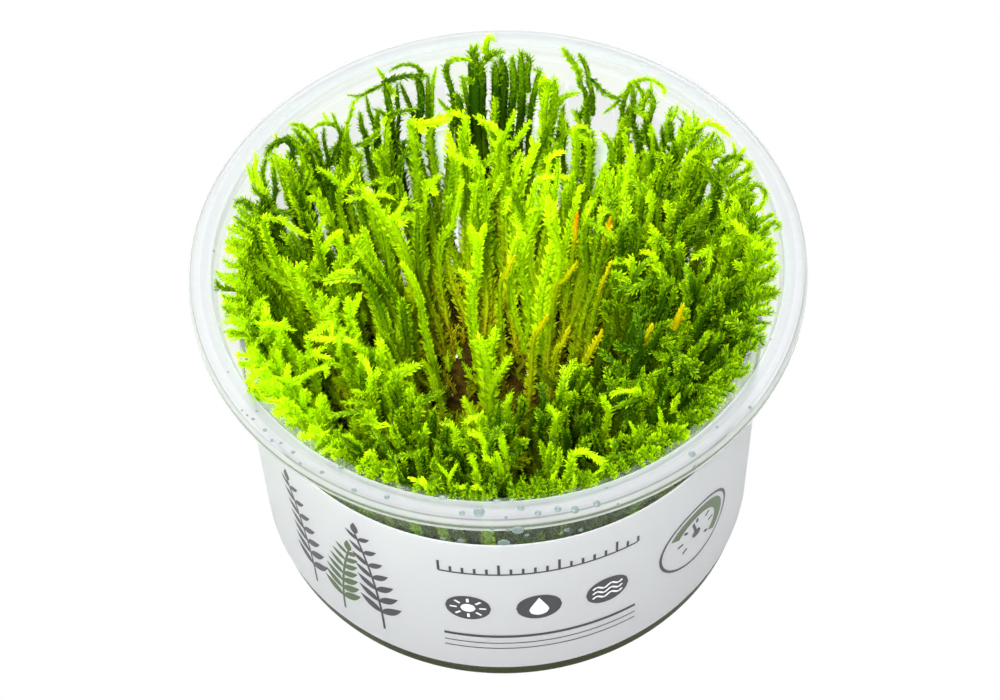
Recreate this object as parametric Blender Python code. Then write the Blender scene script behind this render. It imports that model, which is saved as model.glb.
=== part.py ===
"""Clear tub of upright moss on a gel bed, with a paper wrap round its side.

Metres, +Z up. The origin is the middle of the foot that the tub stands on.
The picture looks along +Y, so -Y is the front and +X is the right.
"""

import math
import random

import bmesh
import bpy
from mathutils import Vector

MM = 0.001

# Tub, millimetres
RIM_RADIUS = 52.0
TUB_HEIGHT = 63.5
MOUTH_RADIUS = 47.9
WALL = 0.75
FLANGE_THICKNESS = 0.8
LIP_DEPTH = 3.2
SEAT_DEPTH = 3.4
FOOT_RADIUS = 41.9
FOOT_WIDTH = 2.0
FOOT_HEIGHT = 0.9
BODY_RADIUS_LOW = 42.35
BODY_LOW_Z = 0.8
BODY_TAPER = 0.0430
SHOULDER_Z = 57.6
TUB_SEGMENTS = 56

# Paper wrap
WRAP_BOTTOM = 3.7
WRAP_TOP = 44.95
WRAP_STANDOFF = 0.3
WRAP_THICKNESS = 0.25
WRAP_SEGMENTS = 54
WRAP_GAP_ANGLE = 1.6
WRAP_SEAM_ANGLE = 100.0

# Gel and the brown old growth on it
GAP = 0.35
GEL_TOP = 7.6
GEL_SEGMENTS = 40
MAT_RADIUS = 38.4
MAT_TOP = 12.9
MAT_RINGS = 4
MAT_SEGMENTS = 36
LUMP_DEPTH = 1.6

# Moss
CLUMP_BOTTOM = MAT_TOP + GAP
CLUMP_TOP = 17.0
TUFT_GAP = 0.45
SPREAD = 0.40
TIP_LEVEL = 62.0
STEM_LEVELS = (0.12, 0.55, 0.86)
STEM_WIDTHS = (3.3, 4.0, 3.6)
STEM_FLATNESS = 0.8
WALL_CLEARANCE = 0.5
TIP_HOOK = 2.6
SWAY = 1.2
PLAN_WARP = 0.9

# Each ring of tufts: name, inner and outer radius, tufts, stems along the radius and round it,
# height of its tips at the back and at the front, and the sectors that stay empty
TUFT_RINGS = (
    ("outer", 24.2, 33.4, 12, 2, 3, 62.4, 60.4, ()),
    ("middle", 14.6, 24.0, 8, 2, 3, 60.0, 54.5, ()),
    ("inner", 6.6, 14.4, 5, 2, 2, 36.0, 42.0, (2, 3)),
)


def clear_objects():
    """Remove the objects that the file opens with."""
    for item in list(bpy.data.objects):
        bpy.data.objects.remove(item, do_unlink=True)


def finish_material(name, color, roughness, transmission=0.0):
    """Return a Principled material of one colour."""
    material = bpy.data.materials.new(name)
    material.use_nodes = True
    shader = material.node_tree.nodes["Principled BSDF"]
    shader.inputs["Base Color"].default_value = (*color, 1.0)
    shader.inputs["Roughness"].default_value = roughness
    shader.inputs["Metallic"].default_value = 0.0
    shader.inputs["Transmission Weight"].default_value = transmission
    material.diffuse_color = (*color, 1.0)
    return material


def add_piece(name, mesh_builder, material, sharp_angle=40.0):
    """Put a finished bmesh in the scene as one named object, shaded smooth."""
    bmesh.ops.recalc_face_normals(mesh_builder, faces=mesh_builder.faces)
    bmesh.ops.scale(mesh_builder, vec=(MM, MM, MM), verts=mesh_builder.verts)
    mesh = bpy.data.meshes.new(name)
    mesh_builder.to_mesh(mesh)
    mesh_builder.free()
    mesh.shade_smooth()
    mesh.set_sharp_from_angle(angle=math.radians(sharp_angle))
    mesh.materials.append(material)
    piece = bpy.data.objects.new(name, mesh)
    bpy.context.scene.collection.objects.link(piece)
    return piece


def turn_profile(profile, segments):
    """Turn a profile that starts and ends on the axis into a closed solid."""
    builder = bmesh.new()
    rings = []
    for radius, height in profile:
        if radius == 0.0:
            rings.append([builder.verts.new((0.0, 0.0, height))])
            continue
        ring = []
        for step in range(segments):
            angle = 2.0 * math.pi * step / segments
            ring.append(builder.verts.new((radius * math.cos(angle), radius * math.sin(angle), height)))
        rings.append(ring)
    for lower, upper in zip(rings, rings[1:]):
        for step in range(segments):
            following = (step + 1) % segments
            if len(lower) == 1:
                builder.faces.new((lower[0], upper[following], upper[step]))
            elif len(upper) == 1:
                builder.faces.new((lower[step], lower[following], upper[0]))
            else:
                builder.faces.new((lower[step], lower[following], upper[following], upper[step]))
    return builder


def body_radius(height):
    """Outer radius of the tapered wall at a height."""
    return BODY_RADIUS_LOW + BODY_TAPER * (height - BODY_LOW_Z)


def inside_radius(height):
    """Inner radius of the tub, with the wider lid seat above the shoulder."""
    seat_floor = TUB_HEIGHT - SEAT_DEPTH
    if height > seat_floor:
        return MOUTH_RADIUS - 0.6
    return body_radius(min(height, SHOULDER_Z)) - WALL


def tub_profile():
    """Section of the tub, from under its middle, up the outside and down the inside."""
    wall_top = body_radius(SHOULDER_Z)
    seat_floor = TUB_HEIGHT - SEAT_DEPTH
    flange_under = TUB_HEIGHT - FLANGE_THICKNESS
    lip_bottom = TUB_HEIGHT - LIP_DEPTH
    floor_top = FOOT_HEIGHT + WALL
    under = [
        (0.0, FOOT_HEIGHT),
        (FOOT_RADIUS - FOOT_WIDTH - 1.0, FOOT_HEIGHT),
        (FOOT_RADIUS - FOOT_WIDTH, 0.0),
        (FOOT_RADIUS, 0.0),
        (FOOT_RADIUS + 0.35, 0.2),
    ]
    outside = [
        (BODY_RADIUS_LOW, BODY_LOW_Z),
        (wall_top, SHOULDER_Z),
        (wall_top + 0.7, SHOULDER_Z + 1.0),
        (MOUTH_RADIUS - 0.7, seat_floor - 0.9),
        (MOUTH_RADIUS + 0.15, seat_floor),
        (MOUTH_RADIUS + 0.6, flange_under - 0.6),
        (MOUTH_RADIUS + 1.1, flange_under),
        (RIM_RADIUS - 1.2, flange_under),
        (RIM_RADIUS - 0.75, flange_under - 0.6),
        (RIM_RADIUS - 0.7, lip_bottom),
    ]
    rim = [
        (RIM_RADIUS, lip_bottom),
        (RIM_RADIUS, TUB_HEIGHT - 1.1),
        (RIM_RADIUS - 0.35, TUB_HEIGHT - 0.35),
        (RIM_RADIUS - 1.1, TUB_HEIGHT),
        (MOUTH_RADIUS + 0.7, TUB_HEIGHT),
        (MOUTH_RADIUS + 0.15, TUB_HEIGHT - 0.2),
        (MOUTH_RADIUS, TUB_HEIGHT - 0.7),
    ]
    inside = [
        (MOUTH_RADIUS - 0.55, seat_floor + 0.5),
        (MOUTH_RADIUS - 1.2, seat_floor),
        (wall_top - 0.1, seat_floor - 0.9),
        (wall_top - WALL + 0.05, SHOULDER_Z + 0.6),
        (body_radius(floor_top + 1.2) - WALL, floor_top + 1.2),
        (body_radius(floor_top) - WALL - 0.9, floor_top + 0.25),
        (body_radius(floor_top) - WALL - 2.0, floor_top),
        (0.0, floor_top),
    ]
    return under + outside + rim + inside


def build_tub(material):
    return add_piece("cup", turn_profile(tub_profile(), TUB_SEGMENTS), material, 30.0)


def build_wrap(material):
    """Thin paper band round the wall, open at its seam."""
    builder = bmesh.new()
    start = math.radians(WRAP_SEAM_ANGLE + WRAP_GAP_ANGLE / 2.0)
    sweep = math.radians(360.0 - WRAP_GAP_ANGLE)
    columns = []
    for step in range(WRAP_SEGMENTS + 1):
        angle = start + sweep * step / WRAP_SEGMENTS
        column = []
        corners = (
            (WRAP_BOTTOM, WRAP_STANDOFF),
            (WRAP_BOTTOM, WRAP_STANDOFF + WRAP_THICKNESS),
            (WRAP_TOP, WRAP_STANDOFF + WRAP_THICKNESS),
            (WRAP_TOP, WRAP_STANDOFF),
        )
        for height, standoff in corners:
            radius = body_radius(height) + standoff
            column.append(builder.verts.new((radius * math.cos(angle), radius * math.sin(angle), height)))
        columns.append(column)
    for before, after in zip(columns, columns[1:]):
        for corner in range(4):
            following = (corner + 1) % 4
            builder.faces.new((before[corner], after[corner], after[following], before[following]))
    builder.faces.new(columns[0])
    builder.faces.new(list(reversed(columns[-1])))
    return add_piece("label_wrap", builder, material, 30.0)


def build_gel(material):
    """Disc of set gel that fills the tub's floor from wall to wall."""
    bottom = FOOT_HEIGHT + WALL + GAP
    low_radius = inside_radius(bottom) - 2.4
    profile = [
        (0.0, bottom),
        (low_radius, bottom),
        (inside_radius(bottom + 1.4) - 0.6, bottom + 1.4),
        (inside_radius(GEL_TOP) - 0.5, GEL_TOP - 0.3),
        (inside_radius(GEL_TOP) - 1.4, GEL_TOP),
        (0.0, GEL_TOP - 0.4),
    ]
    return add_piece("nutrient_gel", turn_profile(profile, GEL_SEGMENTS), material)


def lump(x, y):
    """How far the old growth sinks below its highest level, millimetres."""
    waves = math.sin(0.42 * x + 1.1) * math.cos(0.37 * y - 0.6)
    waves += 0.6 * math.sin(0.23 * x - 0.51 * y)
    return LUMP_DEPTH * (0.5 + waves / 3.2)


def build_mat(material):
    """Low lumpy cushion of old brown stems, which the green tufts stand on."""
    builder = bmesh.new()
    bottom = GEL_TOP + GAP
    top_pole = builder.verts.new((0.0, 0.0, MAT_TOP - lump(0.0, 0.0)))
    rings = []
    for ring_index in range(1, MAT_RINGS + 1):
        ring = []
        radius = MAT_RADIUS * ring_index / MAT_RINGS
        for step in range(MAT_SEGMENTS):
            angle = 2.0 * math.pi * (step + 0.5 * (ring_index % 2)) / MAT_SEGMENTS
            x = radius * math.cos(angle)
            y = radius * math.sin(angle)
            height = MAT_TOP - lump(x, y)
            if ring_index == MAT_RINGS:
                height = 0.5 * (height + bottom)
            ring.append(builder.verts.new((x, y, height)))
        rings.append(ring)
    foot = []
    for vertex in rings[-1]:
        foot.append(builder.verts.new((vertex.co.x * 0.985, vertex.co.y * 0.985, bottom)))
    rings.append(foot)
    for step in range(MAT_SEGMENTS):
        builder.faces.new((top_pole, rings[0][step], rings[0][(step + 1) % MAT_SEGMENTS]))
    for inner, outer in zip(rings, rings[1:]):
        for step in range(MAT_SEGMENTS):
            following = (step + 1) % MAT_SEGMENTS
            builder.faces.new((inner[step], outer[step], outer[following], inner[following]))
    builder.faces.new(list(reversed(foot)))
    return add_piece("old_growth_mat", builder, material)


def warped(x, y):
    """Shift a point of the plan a little, so that the rings of tufts lose their regularity."""
    return x + PLAN_WARP * math.sin(0.17 * y + 0.9), y + PLAN_WARP * math.sin(0.15 * x - 1.3)


def tip_height(x, y, back, front, chance):
    """Height of a stem's tip: it follows the lid's level, lower round the hollow."""
    depth = 0.5 + 0.5 * y / TUFT_RINGS[0][2]
    return front + (back - front) * depth + 2.6 * chance


def stem_centre(root, height, tip):
    """Where the stem that grows at root passes a height: it leans out from the middle."""
    share = (height - CLUMP_TOP) / (TIP_LEVEL - CLUMP_TOP)
    rise = (height - CLUMP_TOP) / (tip - CLUMP_TOP)
    x = root.x * (1.0 + SPREAD * share)
    y = root.y * (1.0 + SPREAD * share)
    bend = SWAY * math.sin(math.pi * min(rise, 1.0))
    x += bend * math.sin(0.16 * root.y + 0.7)
    y += bend * math.cos(0.19 * root.x - 0.4)
    point = Vector((x, y, height))
    limit = inside_radius(height) - WALL_CLEARANCE - 0.5 * STEM_WIDTHS[1]
    reach = math.hypot(x, y)
    if reach > limit:
        point.x *= limit / reach
        point.y *= limit / reach
    return point


def add_stem(builder, corners, tip, chance):
    """Raise one tapering stem, with a hooked tip, from a quad of the clump's top."""
    root = Vector((0.0, 0.0, 0.0))
    for corner in corners:
        root += corner.co / 4.0
    below = corners
    spin = 0.5 * chance.uniform(-1.0, 1.0)
    first_angle = math.atan2(corners[0].co.y - root.y, corners[0].co.x - root.x)
    for level, width in zip(STEM_LEVELS, STEM_WIDTHS):
        height = CLUMP_TOP + level * (tip - CLUMP_TOP)
        centre = stem_centre(root, height, tip)
        half = 0.5 * width * chance.uniform(0.9, 1.12)
        ring = []
        for corner in range(4):
            angle = first_angle + spin * level + 0.5 * math.pi * corner
            flat = STEM_FLATNESS if corner % 2 else 1.0
            offset = Vector((math.cos(angle), math.sin(angle), 0.0)) * half * flat
            ring.append(builder.verts.new(centre + offset))
        for corner in range(4):
            following = (corner + 1) % 4
            builder.faces.new((below[corner], below[following], ring[following], ring[corner]))
        below = ring
    end = stem_centre(root, tip, tip)
    turn = chance.uniform(0.0, 2.0 * math.pi)
    hook = TIP_HOOK * chance.uniform(0.2, 1.0)
    end += Vector((hook * math.cos(turn), hook * math.sin(turn), 0.0))
    reach = math.hypot(end.x, end.y)
    limit = inside_radius(tip) - WALL_CLEARANCE
    if reach > limit:
        end.x *= limit / reach
        end.y *= limit / reach
    point = builder.verts.new(end)
    for corner in range(4):
        builder.faces.new((below[corner], below[(corner + 1) % 4], point))


def cell_corner(inner, outer, along, start, sweep, round_share):
    """A point of a tuft's footprint, by its shares of the radius and of the sector."""
    radius = inner + (outer - inner) * along
    side_gap = TUFT_GAP / radius
    angle = start + side_gap + (sweep - 2.0 * side_gap) * round_share
    return warped(radius * math.cos(angle), radius * math.sin(angle))


def build_tuft(name, ring, sector, material):
    """One tuft: a low clump with a grid of stems that grow from its top."""
    inner, outer, count, rows, columns, back, front = ring[1:8]
    chance = random.Random(name)
    builder = bmesh.new()
    sweep = 2.0 * math.pi / count
    start = -0.5 * math.pi + (sector - 0.5) * sweep
    grid = []
    floor = []
    for row in range(rows + 1):
        line = []
        low_line = []
        for column in range(columns + 1):
            x, y = cell_corner(inner, outer, row / rows, start, sweep, column / columns)
            line.append(builder.verts.new((x, y, CLUMP_TOP + chance.uniform(-0.6, 0.0))))
            low_line.append(builder.verts.new((x, y, CLUMP_BOTTOM)))
        grid.append(line)
        floor.append(low_line)
    for row in range(rows):
        for column in range(columns):
            corners = [grid[row][column], grid[row + 1][column]]
            corners += [grid[row + 1][column + 1], grid[row][column + 1]]
            middle = sum((corner.co for corner in corners), Vector()) / 4.0
            tip = tip_height(middle.x, middle.y, back, front, chance.uniform(-1.0, 1.0))
            shoulder = []
            for corner in corners:
                place = middle.lerp(corner.co, 0.74)
                shoulder.append(builder.verts.new((place.x, place.y, CLUMP_TOP + 0.3)))
            for corner in range(4):
                following = (corner + 1) % 4
                face = (corners[corner], corners[following], shoulder[following], shoulder[corner])
                builder.faces.new(face)
            add_stem(builder, shoulder, tip, chance)
    outline = [(0, column) for column in range(columns)]
    outline += [(row, columns) for row in range(rows)]
    outline += [(rows, column) for column in range(columns, 0, -1)]
    outline += [(row, 0) for row in range(rows, 0, -1)]
    for (row, column), (next_row, next_column) in zip(outline, outline[1:] + outline[:1]):
        lower = floor[row][column]
        lower_next = floor[next_row][next_column]
        builder.faces.new((lower, lower_next, grid[next_row][next_column], grid[row][column]))
    builder.faces.new([floor[row][column] for row, column in reversed(outline)])
    loose = [vertex for vertex in builder.verts if not vertex.link_faces]
    bmesh.ops.delete(builder, geom=loose, context="VERTS")
    return add_piece(name, builder, material, 50.0)


def build_moss(material):
    for ring in TUFT_RINGS:
        number = 0
        for sector in range(ring[3]):
            if sector in ring[8]:
                continue
            number += 1
            build_tuft(f"moss_tuft_{ring[0]}_{number:02d}", ring, sector, material)


def main():
    clear_objects()
    clear_plastic = finish_material("clear_plastic", (0.86, 0.90, 0.91), 0.18, 0.8)
    paper = finish_material("paper", (0.86, 0.87, 0.88), 0.55)
    gel = finish_material("gel", (0.22, 0.24, 0.05), 0.12)
    old_growth = finish_material("old_growth", (0.13, 0.08, 0.02), 0.6)
    green = finish_material("green_moss", (0.16, 0.42, 0.02), 0.5)
    build_tub(clear_plastic)
    build_wrap(paper)
    build_gel(gel)
    build_mat(old_growth)
    build_moss(green)


main()
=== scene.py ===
"""Clear tub of upright moss: finish of the tub, its paper wrap, the gel and every leafy shoot.

All lengths in the code are millimetres unless a name says otherwise; meshes are scaled to metres.
"""

import math
import random

import bmesh
import bpy
from bpy.props import FloatProperty, FloatVectorProperty, IntProperty, PointerProperty
from mathutils import Matrix, Vector


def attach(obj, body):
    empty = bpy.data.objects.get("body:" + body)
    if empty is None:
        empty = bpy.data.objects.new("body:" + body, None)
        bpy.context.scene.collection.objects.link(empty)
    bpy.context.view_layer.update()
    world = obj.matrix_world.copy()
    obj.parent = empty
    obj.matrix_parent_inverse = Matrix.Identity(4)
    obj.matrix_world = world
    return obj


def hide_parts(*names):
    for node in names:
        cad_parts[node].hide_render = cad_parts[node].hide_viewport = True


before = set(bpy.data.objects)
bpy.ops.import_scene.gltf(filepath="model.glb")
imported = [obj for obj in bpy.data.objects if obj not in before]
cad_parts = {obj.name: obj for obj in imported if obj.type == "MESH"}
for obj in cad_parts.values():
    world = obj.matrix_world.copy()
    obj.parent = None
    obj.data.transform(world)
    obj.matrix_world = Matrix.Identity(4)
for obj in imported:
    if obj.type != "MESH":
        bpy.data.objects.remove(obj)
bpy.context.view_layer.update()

bl_info = {
    "name": "Moss Tub",
    "version": (1, 0, 0),
    "blender": (4, 5, 0),
    "location": "View3D > Sidebar > Moss Tub",
    "description": "Dresses a clear tub of living moss, piece by piece",
    "category": "Object",
}

MM = 0.001

# Tub, as the solids have it
RIM_RADIUS = 52.0
TUB_HEIGHT = 63.5
MOUTH_RADIUS = 47.9
WALL = 0.75
FLANGE_THICKNESS = 0.8
LIP_DEPTH = 3.2
SEAT_DEPTH = 3.4
SHOULDER_Z = 57.6
FOOT_RADIUS = 41.9
FOOT_WIDTH = 2.0
FOOT_HEIGHT = 0.9
BODY_RADIUS_LOW = 42.35
BODY_LOW_Z = 0.8
BODY_TAPER = 0.0430

# Zones of the plastic that look unlike the rest: name, inner and outer radius, bottom and top,
# softness of their edges, how milky they are, and their colour
PLASTIC_ZONES = (
    ("fog on the wall", 43.0, 46.5, 45.0, 58.6, 1.5, 0.10, (0.22, 0.26, 0.19)),
    # The green of the shoulder and of the seat wall is painted refraction of the moss seen through the
    # plastic.
    ("shoulder", 44.5, 47.6, 57.8, 60.4, 0.3, 0.12, (0.38, 0.47, 0.30)),
    ("seat wall", 46.8, 48.3, 60.4, 62.9, 0.25, 0.20, (0.42, 0.51, 0.42)),
    ("mouth edge", 47.7, 48.8, 62.6, 64.0, 0.2, 0.50, (0.50, 0.55, 0.55)),
    ("inner part of the flange", 48.6, 49.9, 62.45, 64.0, 0.2, 0.53, (0.51, 0.53, 0.55)),
    ("flange", 49.8, 52.5, 62.45, 64.0, 0.2, 0.56, (0.575, 0.580, 0.61)),
    ("line on the flange", 51.00, 51.15, 63.2, 64.0, 0.08, 0.60, (0.50, 0.51, 0.53)),
    ("outer edge", 51.70, 52.5, 62.1, 63.20, 0.10, 0.75, (0.65, 0.67, 0.67)),
    ("line round the edge", 51.48, 51.62, 63.05, 64.0, 0.06, 0.45, (0.46, 0.47, 0.48)),
    # Painted shade: the dark band on the side of the lip. Below it, the light band at the foot of the lip is
    # a painted highlight.
    ("side of the lip", 51.0, 52.5, 61.2, 61.9, 0.12, 0.72, (0.15, 0.18, 0.11)),
    ("foot of the lip", 51.0, 52.5, 60.0, 61.0, 0.12, 0.72, (0.58, 0.62, 0.57)),
    # Painted refraction: the olive of the gel, seen through the foot, put into the plastic's own colour.
    ("gel behind the foot", 38.0, 44.0, -1.0, 5.6, 0.3, 0.97, (0.046, 0.058, 0.002)),
)

# Drops of water: name, what they sit on, picture position and radius
DROPS = (
    ("front, first", "flange", 462, 513, 0.50),
    ("front, large", "flange", 479, 512, 0.95),
    ("front, between", "flange", 506, 517, 0.28),
    ("front, white ring", "flange", 521, 508, 0.60),
    ("front, faint ring", "flange", 538, 513, 0.55),
    ("front, faint spot", "flange", 558, 509, 0.60),
    ("front right, first", "flange", 575, 509, 0.68),
    ("front right, second", "flange", 597, 503, 0.62),
    ("front right, dot", "lip", 618, 504, 0.22),
    ("front right, edge spot", "flange", 606, 488, 0.30),
    ("right, large", "flange", 692, 454, 0.62),
    ("right, white spot", "lip", 694, 467, 0.40),
    ("right, small", "flange", 717, 427, 0.30),
    ("right, high", "flange", 750, 407, 0.32),
    ("right, highest", "flange", 771, 339, 0.22),
    ("left, edge of the flange", "flange", 242, 410, 0.22),
    ("left, dot", "flange", 247, 415, 0.22),
    ("left, second dot", "flange", 253, 419, 0.30),
    ("left, third dot", "flange", 257, 411, 0.30),
    ("left, fourth dot", "flange", 265, 430, 0.38),
    ("left, fifth dot", "flange", 272, 440, 0.32),
    ("left, sixth dot", "flange", 281, 443, 0.32),
    ("left, seventh dot", "flange", 293, 452, 0.38),
    ("left, eighth dot", "flange", 300, 463, 0.30),
    ("left, ninth dot", "flange", 322, 472, 0.42),
    ("left, tenth dot", "flange", 354, 490, 0.45),
    ("left, eleventh dot", "flange", 387, 497, 0.50),
    ("left, top", "flange", 228, 372, 0.22),
    ("left, top of the flange", "flange", 216, 250, 0.25),
    ("left, by the mouth", "seat", 231, 253, 0.28),
    ("left bead inside the mouth", "seat", 276, 411, 0.55),
    ("lower bead on the mouth's edge", "flange", 341, 467, 0.60),
    ("front left bead on the mouth's edge", "flange", 443, 494, 0.70),
    ("front bead on the mouth's edge", "flange", 497, 498, 0.70),
    ("front right bead on the mouth's edge", "flange", 512, 499, 0.60),
    ("bead on the lip", "lip", 492, 529, 0.40),
    ("second bead on the lip", "lip", 508, 530, 0.40),
    ("large drop under the lip", "lip", 518, 530, 1.05),
    ("ring on the wall", "wall", 504, 543, 1.10),
    ("left ring on the wall", "wall", 461, 541, 0.70),
    ("second left ring on the wall", "wall", 443, 539, 0.55),
    ("small ring on the wall", "wall", 527, 535, 0.45),
    ("right ring on the wall", "wall", 567, 530, 0.60),
    ("second right ring on the wall", "wall", 581, 530, 0.50),
    ("third right ring on the wall", "wall", 562, 533, 0.35),
    ("glint in the hollow", "bed", 446, 389, 0.80),
    ("second glint in the hollow", "bed", 452, 396, 0.45),
    ("glint behind", "bed", 457, 356, 0.50),
    ("glint at the left", "bed", 370, 344, 0.50),
    ("glint at the right", "bed", 528, 374, 0.50),
)

# Where drops can sit: levels of the lid seat and of the bed, widths of the rounding at the
# flange's outer edge and at the mouth, and how far from the rim a drop on the flange stays
FLAT_CARRIERS = {"seat": 59.7, "bed": 13.3}
FLANGE_ROUNDING = 1.1
MOUTH_ROUNDING = 0.7
FLANGE_LIMIT = 0.6

# Paper wrap
WRAP_BOTTOM = 3.7
WRAP_TOP = 44.95
WRAP_STANDOFF = 0.3
WRAP_THICKNESS = 0.25
WRAP_GAP_ANGLE = 1.6
WRAP_SEAM_ANGLE = 100.0

# Print on the wrap: millimetres round from the front, and up from the foot; a sprig's row is its
# place, bottom, height, bend and ink, a rule's its level and width
LINE_WIDTH = 0.45
DIAL_LINE_WIDTH = 0.6
PRINT_LIFT = 0.03
PRINT_REACH = 43.5
SPRIGS = (
    (-39.0, 9.0, 28.0, -4.0, "dark ink"),
    (-32.0, 8.0, 22.0, 3.0, "leaf green"),
    (-23.5, 8.5, 29.0, -3.5, "dark ink"),
)
DISC_PLACES = (-7.5, 4.5, 16.5)
DISC_LEVEL = 24.0
DISC_RADIUS = 3.9
RULER_LEVEL = 35.5
RULER_ENDS = (-12.0, 22.0)
RULER_STEP = 2.0
RULES = ((14.5, 0.8), (12.2, 0.3), (10.4, 0.3))
DIAL_PLACE = (35.5, 24.0)
DIAL_RADIUS = 8.5
INKS = {
    "dark ink": (0.018, 0.019, 0.022),
    "leaf green": (0.040, 0.080, 0.014),
    "paper white": (0.80, 0.80, 0.83),
}

# Levels in the moss
ROOT_LEVEL = 12.6
CLUMP_TOP = 17.0
OLD_BELOW = 50.0
TIP_LEVEL = 62.0
TOP_REACH = 66.0

# How far shoots lean out from the middle, sway and stray
SPREAD = 0.40
INNER_SPREAD = 0.45
SWAY = 1.2
PLAN_WARP = 0.9

# How the tufts differ: sunken tips at the back and in the middle, and how full they stand
BACK_SINKING = 14.0
INNER_SINKING = 16.0
BACK_THINNING = 0.45
SIDE_FILLING = 0.40
BACK_FULLNESS = 1.2

# Leaves: how much fuller and closer to the stem they are on old growth, and from which tone on
# they stay green; how far the largest stand out, and how far below its tip a shoot is full
THICKENING = 0.5
OLD_SPREAD = 0.78
BRIGHT_TONE = 0.93
LEAF_REACH = 1.9
FULL_BELOW = 22.0
PLACED_YOUNG = 7.0

# Room between shoots and the wall: at random, behind the paper, where a shoot is placed one by one,
# and for the leaves of a placed shoot, which grow with its size
WALL_MARGIN = 0.9
PAPER_MARGIN = 0.4
PLACED_MARGIN = 0.5
LEAF_MARGIN = 0.6
LEAF_MARGIN_RISE = 0.8
LARGEST_MARGIN = 2.4

# Low shoots in the middle, and the hollow between them where tweezers reach down
LOW_SHOOTS = 22
LOW_REACH = 16.0
LOW_TIPS = (16.0, 27.0)
HOLLOW_HALF_WIDTH = 4.5
HOLLOW_FRONT = -1.5
HOLLOW_BACK = 10.0
HOLLOW_TIP = 14.5

# Branches that lean out over the lid seat: where they start, bend and end
EDGE_START = 47.0
EDGE_BEND_LEVEL = 56.0
EDGE_BEND_REACH = 43.0
EDGE_END_LEVELS = (60.4, 62.6)
EDGE_CLEARANCES = (1.1, 2.4)

# Rings of tufts: name, inner and outer radius, sectors, tip height at the back and at the front,
# and the sectors that stay empty; and the radii that part the rings
RINGS = (
    ("outer", 24.2, 33.4, 12, 64.6, 60.4, ()),
    ("middle", 14.6, 24.0, 8, 60.0, 54.5, ()),
    ("inner", 6.6, 14.4, 5, 36.0, 42.0, (2, 3)),
)
RING_BORDERS = (24.1, 14.5)

# Corners of a leaf, as shares of its half width across and of its length along Z, from base to tip
LEAF_CORNERS = ((0.0, 0.0, 0.25), (-1.0, 0.3, 0.75), (1.0, 0.3, 0.75), (0.0, -0.6, 1.25))

# Where the moss is lighter or darker, partly in its own tone and partly as painted light and shade, such as
# lighter at the front
# left and darker right of the hollow: place across the tub, reach, and how much
LIGHT_SPOTS = (
    (-24.0, -6.0, 12.0, 0.28),
    (-27.0, -16.0, 8.0, 0.40),
    (-14.0, -26.0, 8.0, -0.18),
    (-17.0, 12.0, 7.0, -0.12),
    (-3.0, 13.0, 7.0, 0.25),
    (-20.0, 6.0, 10.0, 0.16),
    (-6.0, 18.0, 16.0, 0.15),
    (12.0, 18.0, 10.0, 0.18),
    (-1.0, 2.0, 9.0, 0.28),
    (11.0, -1.0, 8.0, -0.34),
    (16.0, -8.0, 8.0, -0.12),
    (24.0, -10.0, 14.0, -0.12),
    (30.0, 4.0, 7.0, 0.14),
    (2.0, -28.0, 12.0, -0.26),
)

# Holes in the moss where the bed shows: name, picture position, half width and half height
CLEARINGS = (
    ("wet hollow", 451, 396, 21, 27),
    ("above the wet hollow", 459, 351, 12, 10),
    ("behind the feather", 503, 379, 16, 22),
    ("right of the hollow", 529, 379, 15, 12),
    ("left brown hole", 373, 333, 10, 15),
    ("left small hole", 312, 344, 9, 11),
    ("left wet hole", 331, 369, 10, 16),
    ("left glint", 349, 401, 9, 11),
    ("front left hole", 350, 443, 7, 10),
    ("front hole", 526, 476, 13, 8),
)

# Camera, from the outlines of the rim, the wrap and the foot in the photograph
CAMERA_ELEVATION = 54.26
CAMERA_ROLL = -2.48
CAMERA_DISTANCE = 671.0
CAMERA_LENS = 144.0
RIM_PLANE_Z = 62.56
AIM_RIGHT = 0.4
AIM_UP = -14.3
SENSOR_WIDTH = 36.0
PICTURE_WIDTH = 1000
PICTURE_HEIGHT = 700
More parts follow.
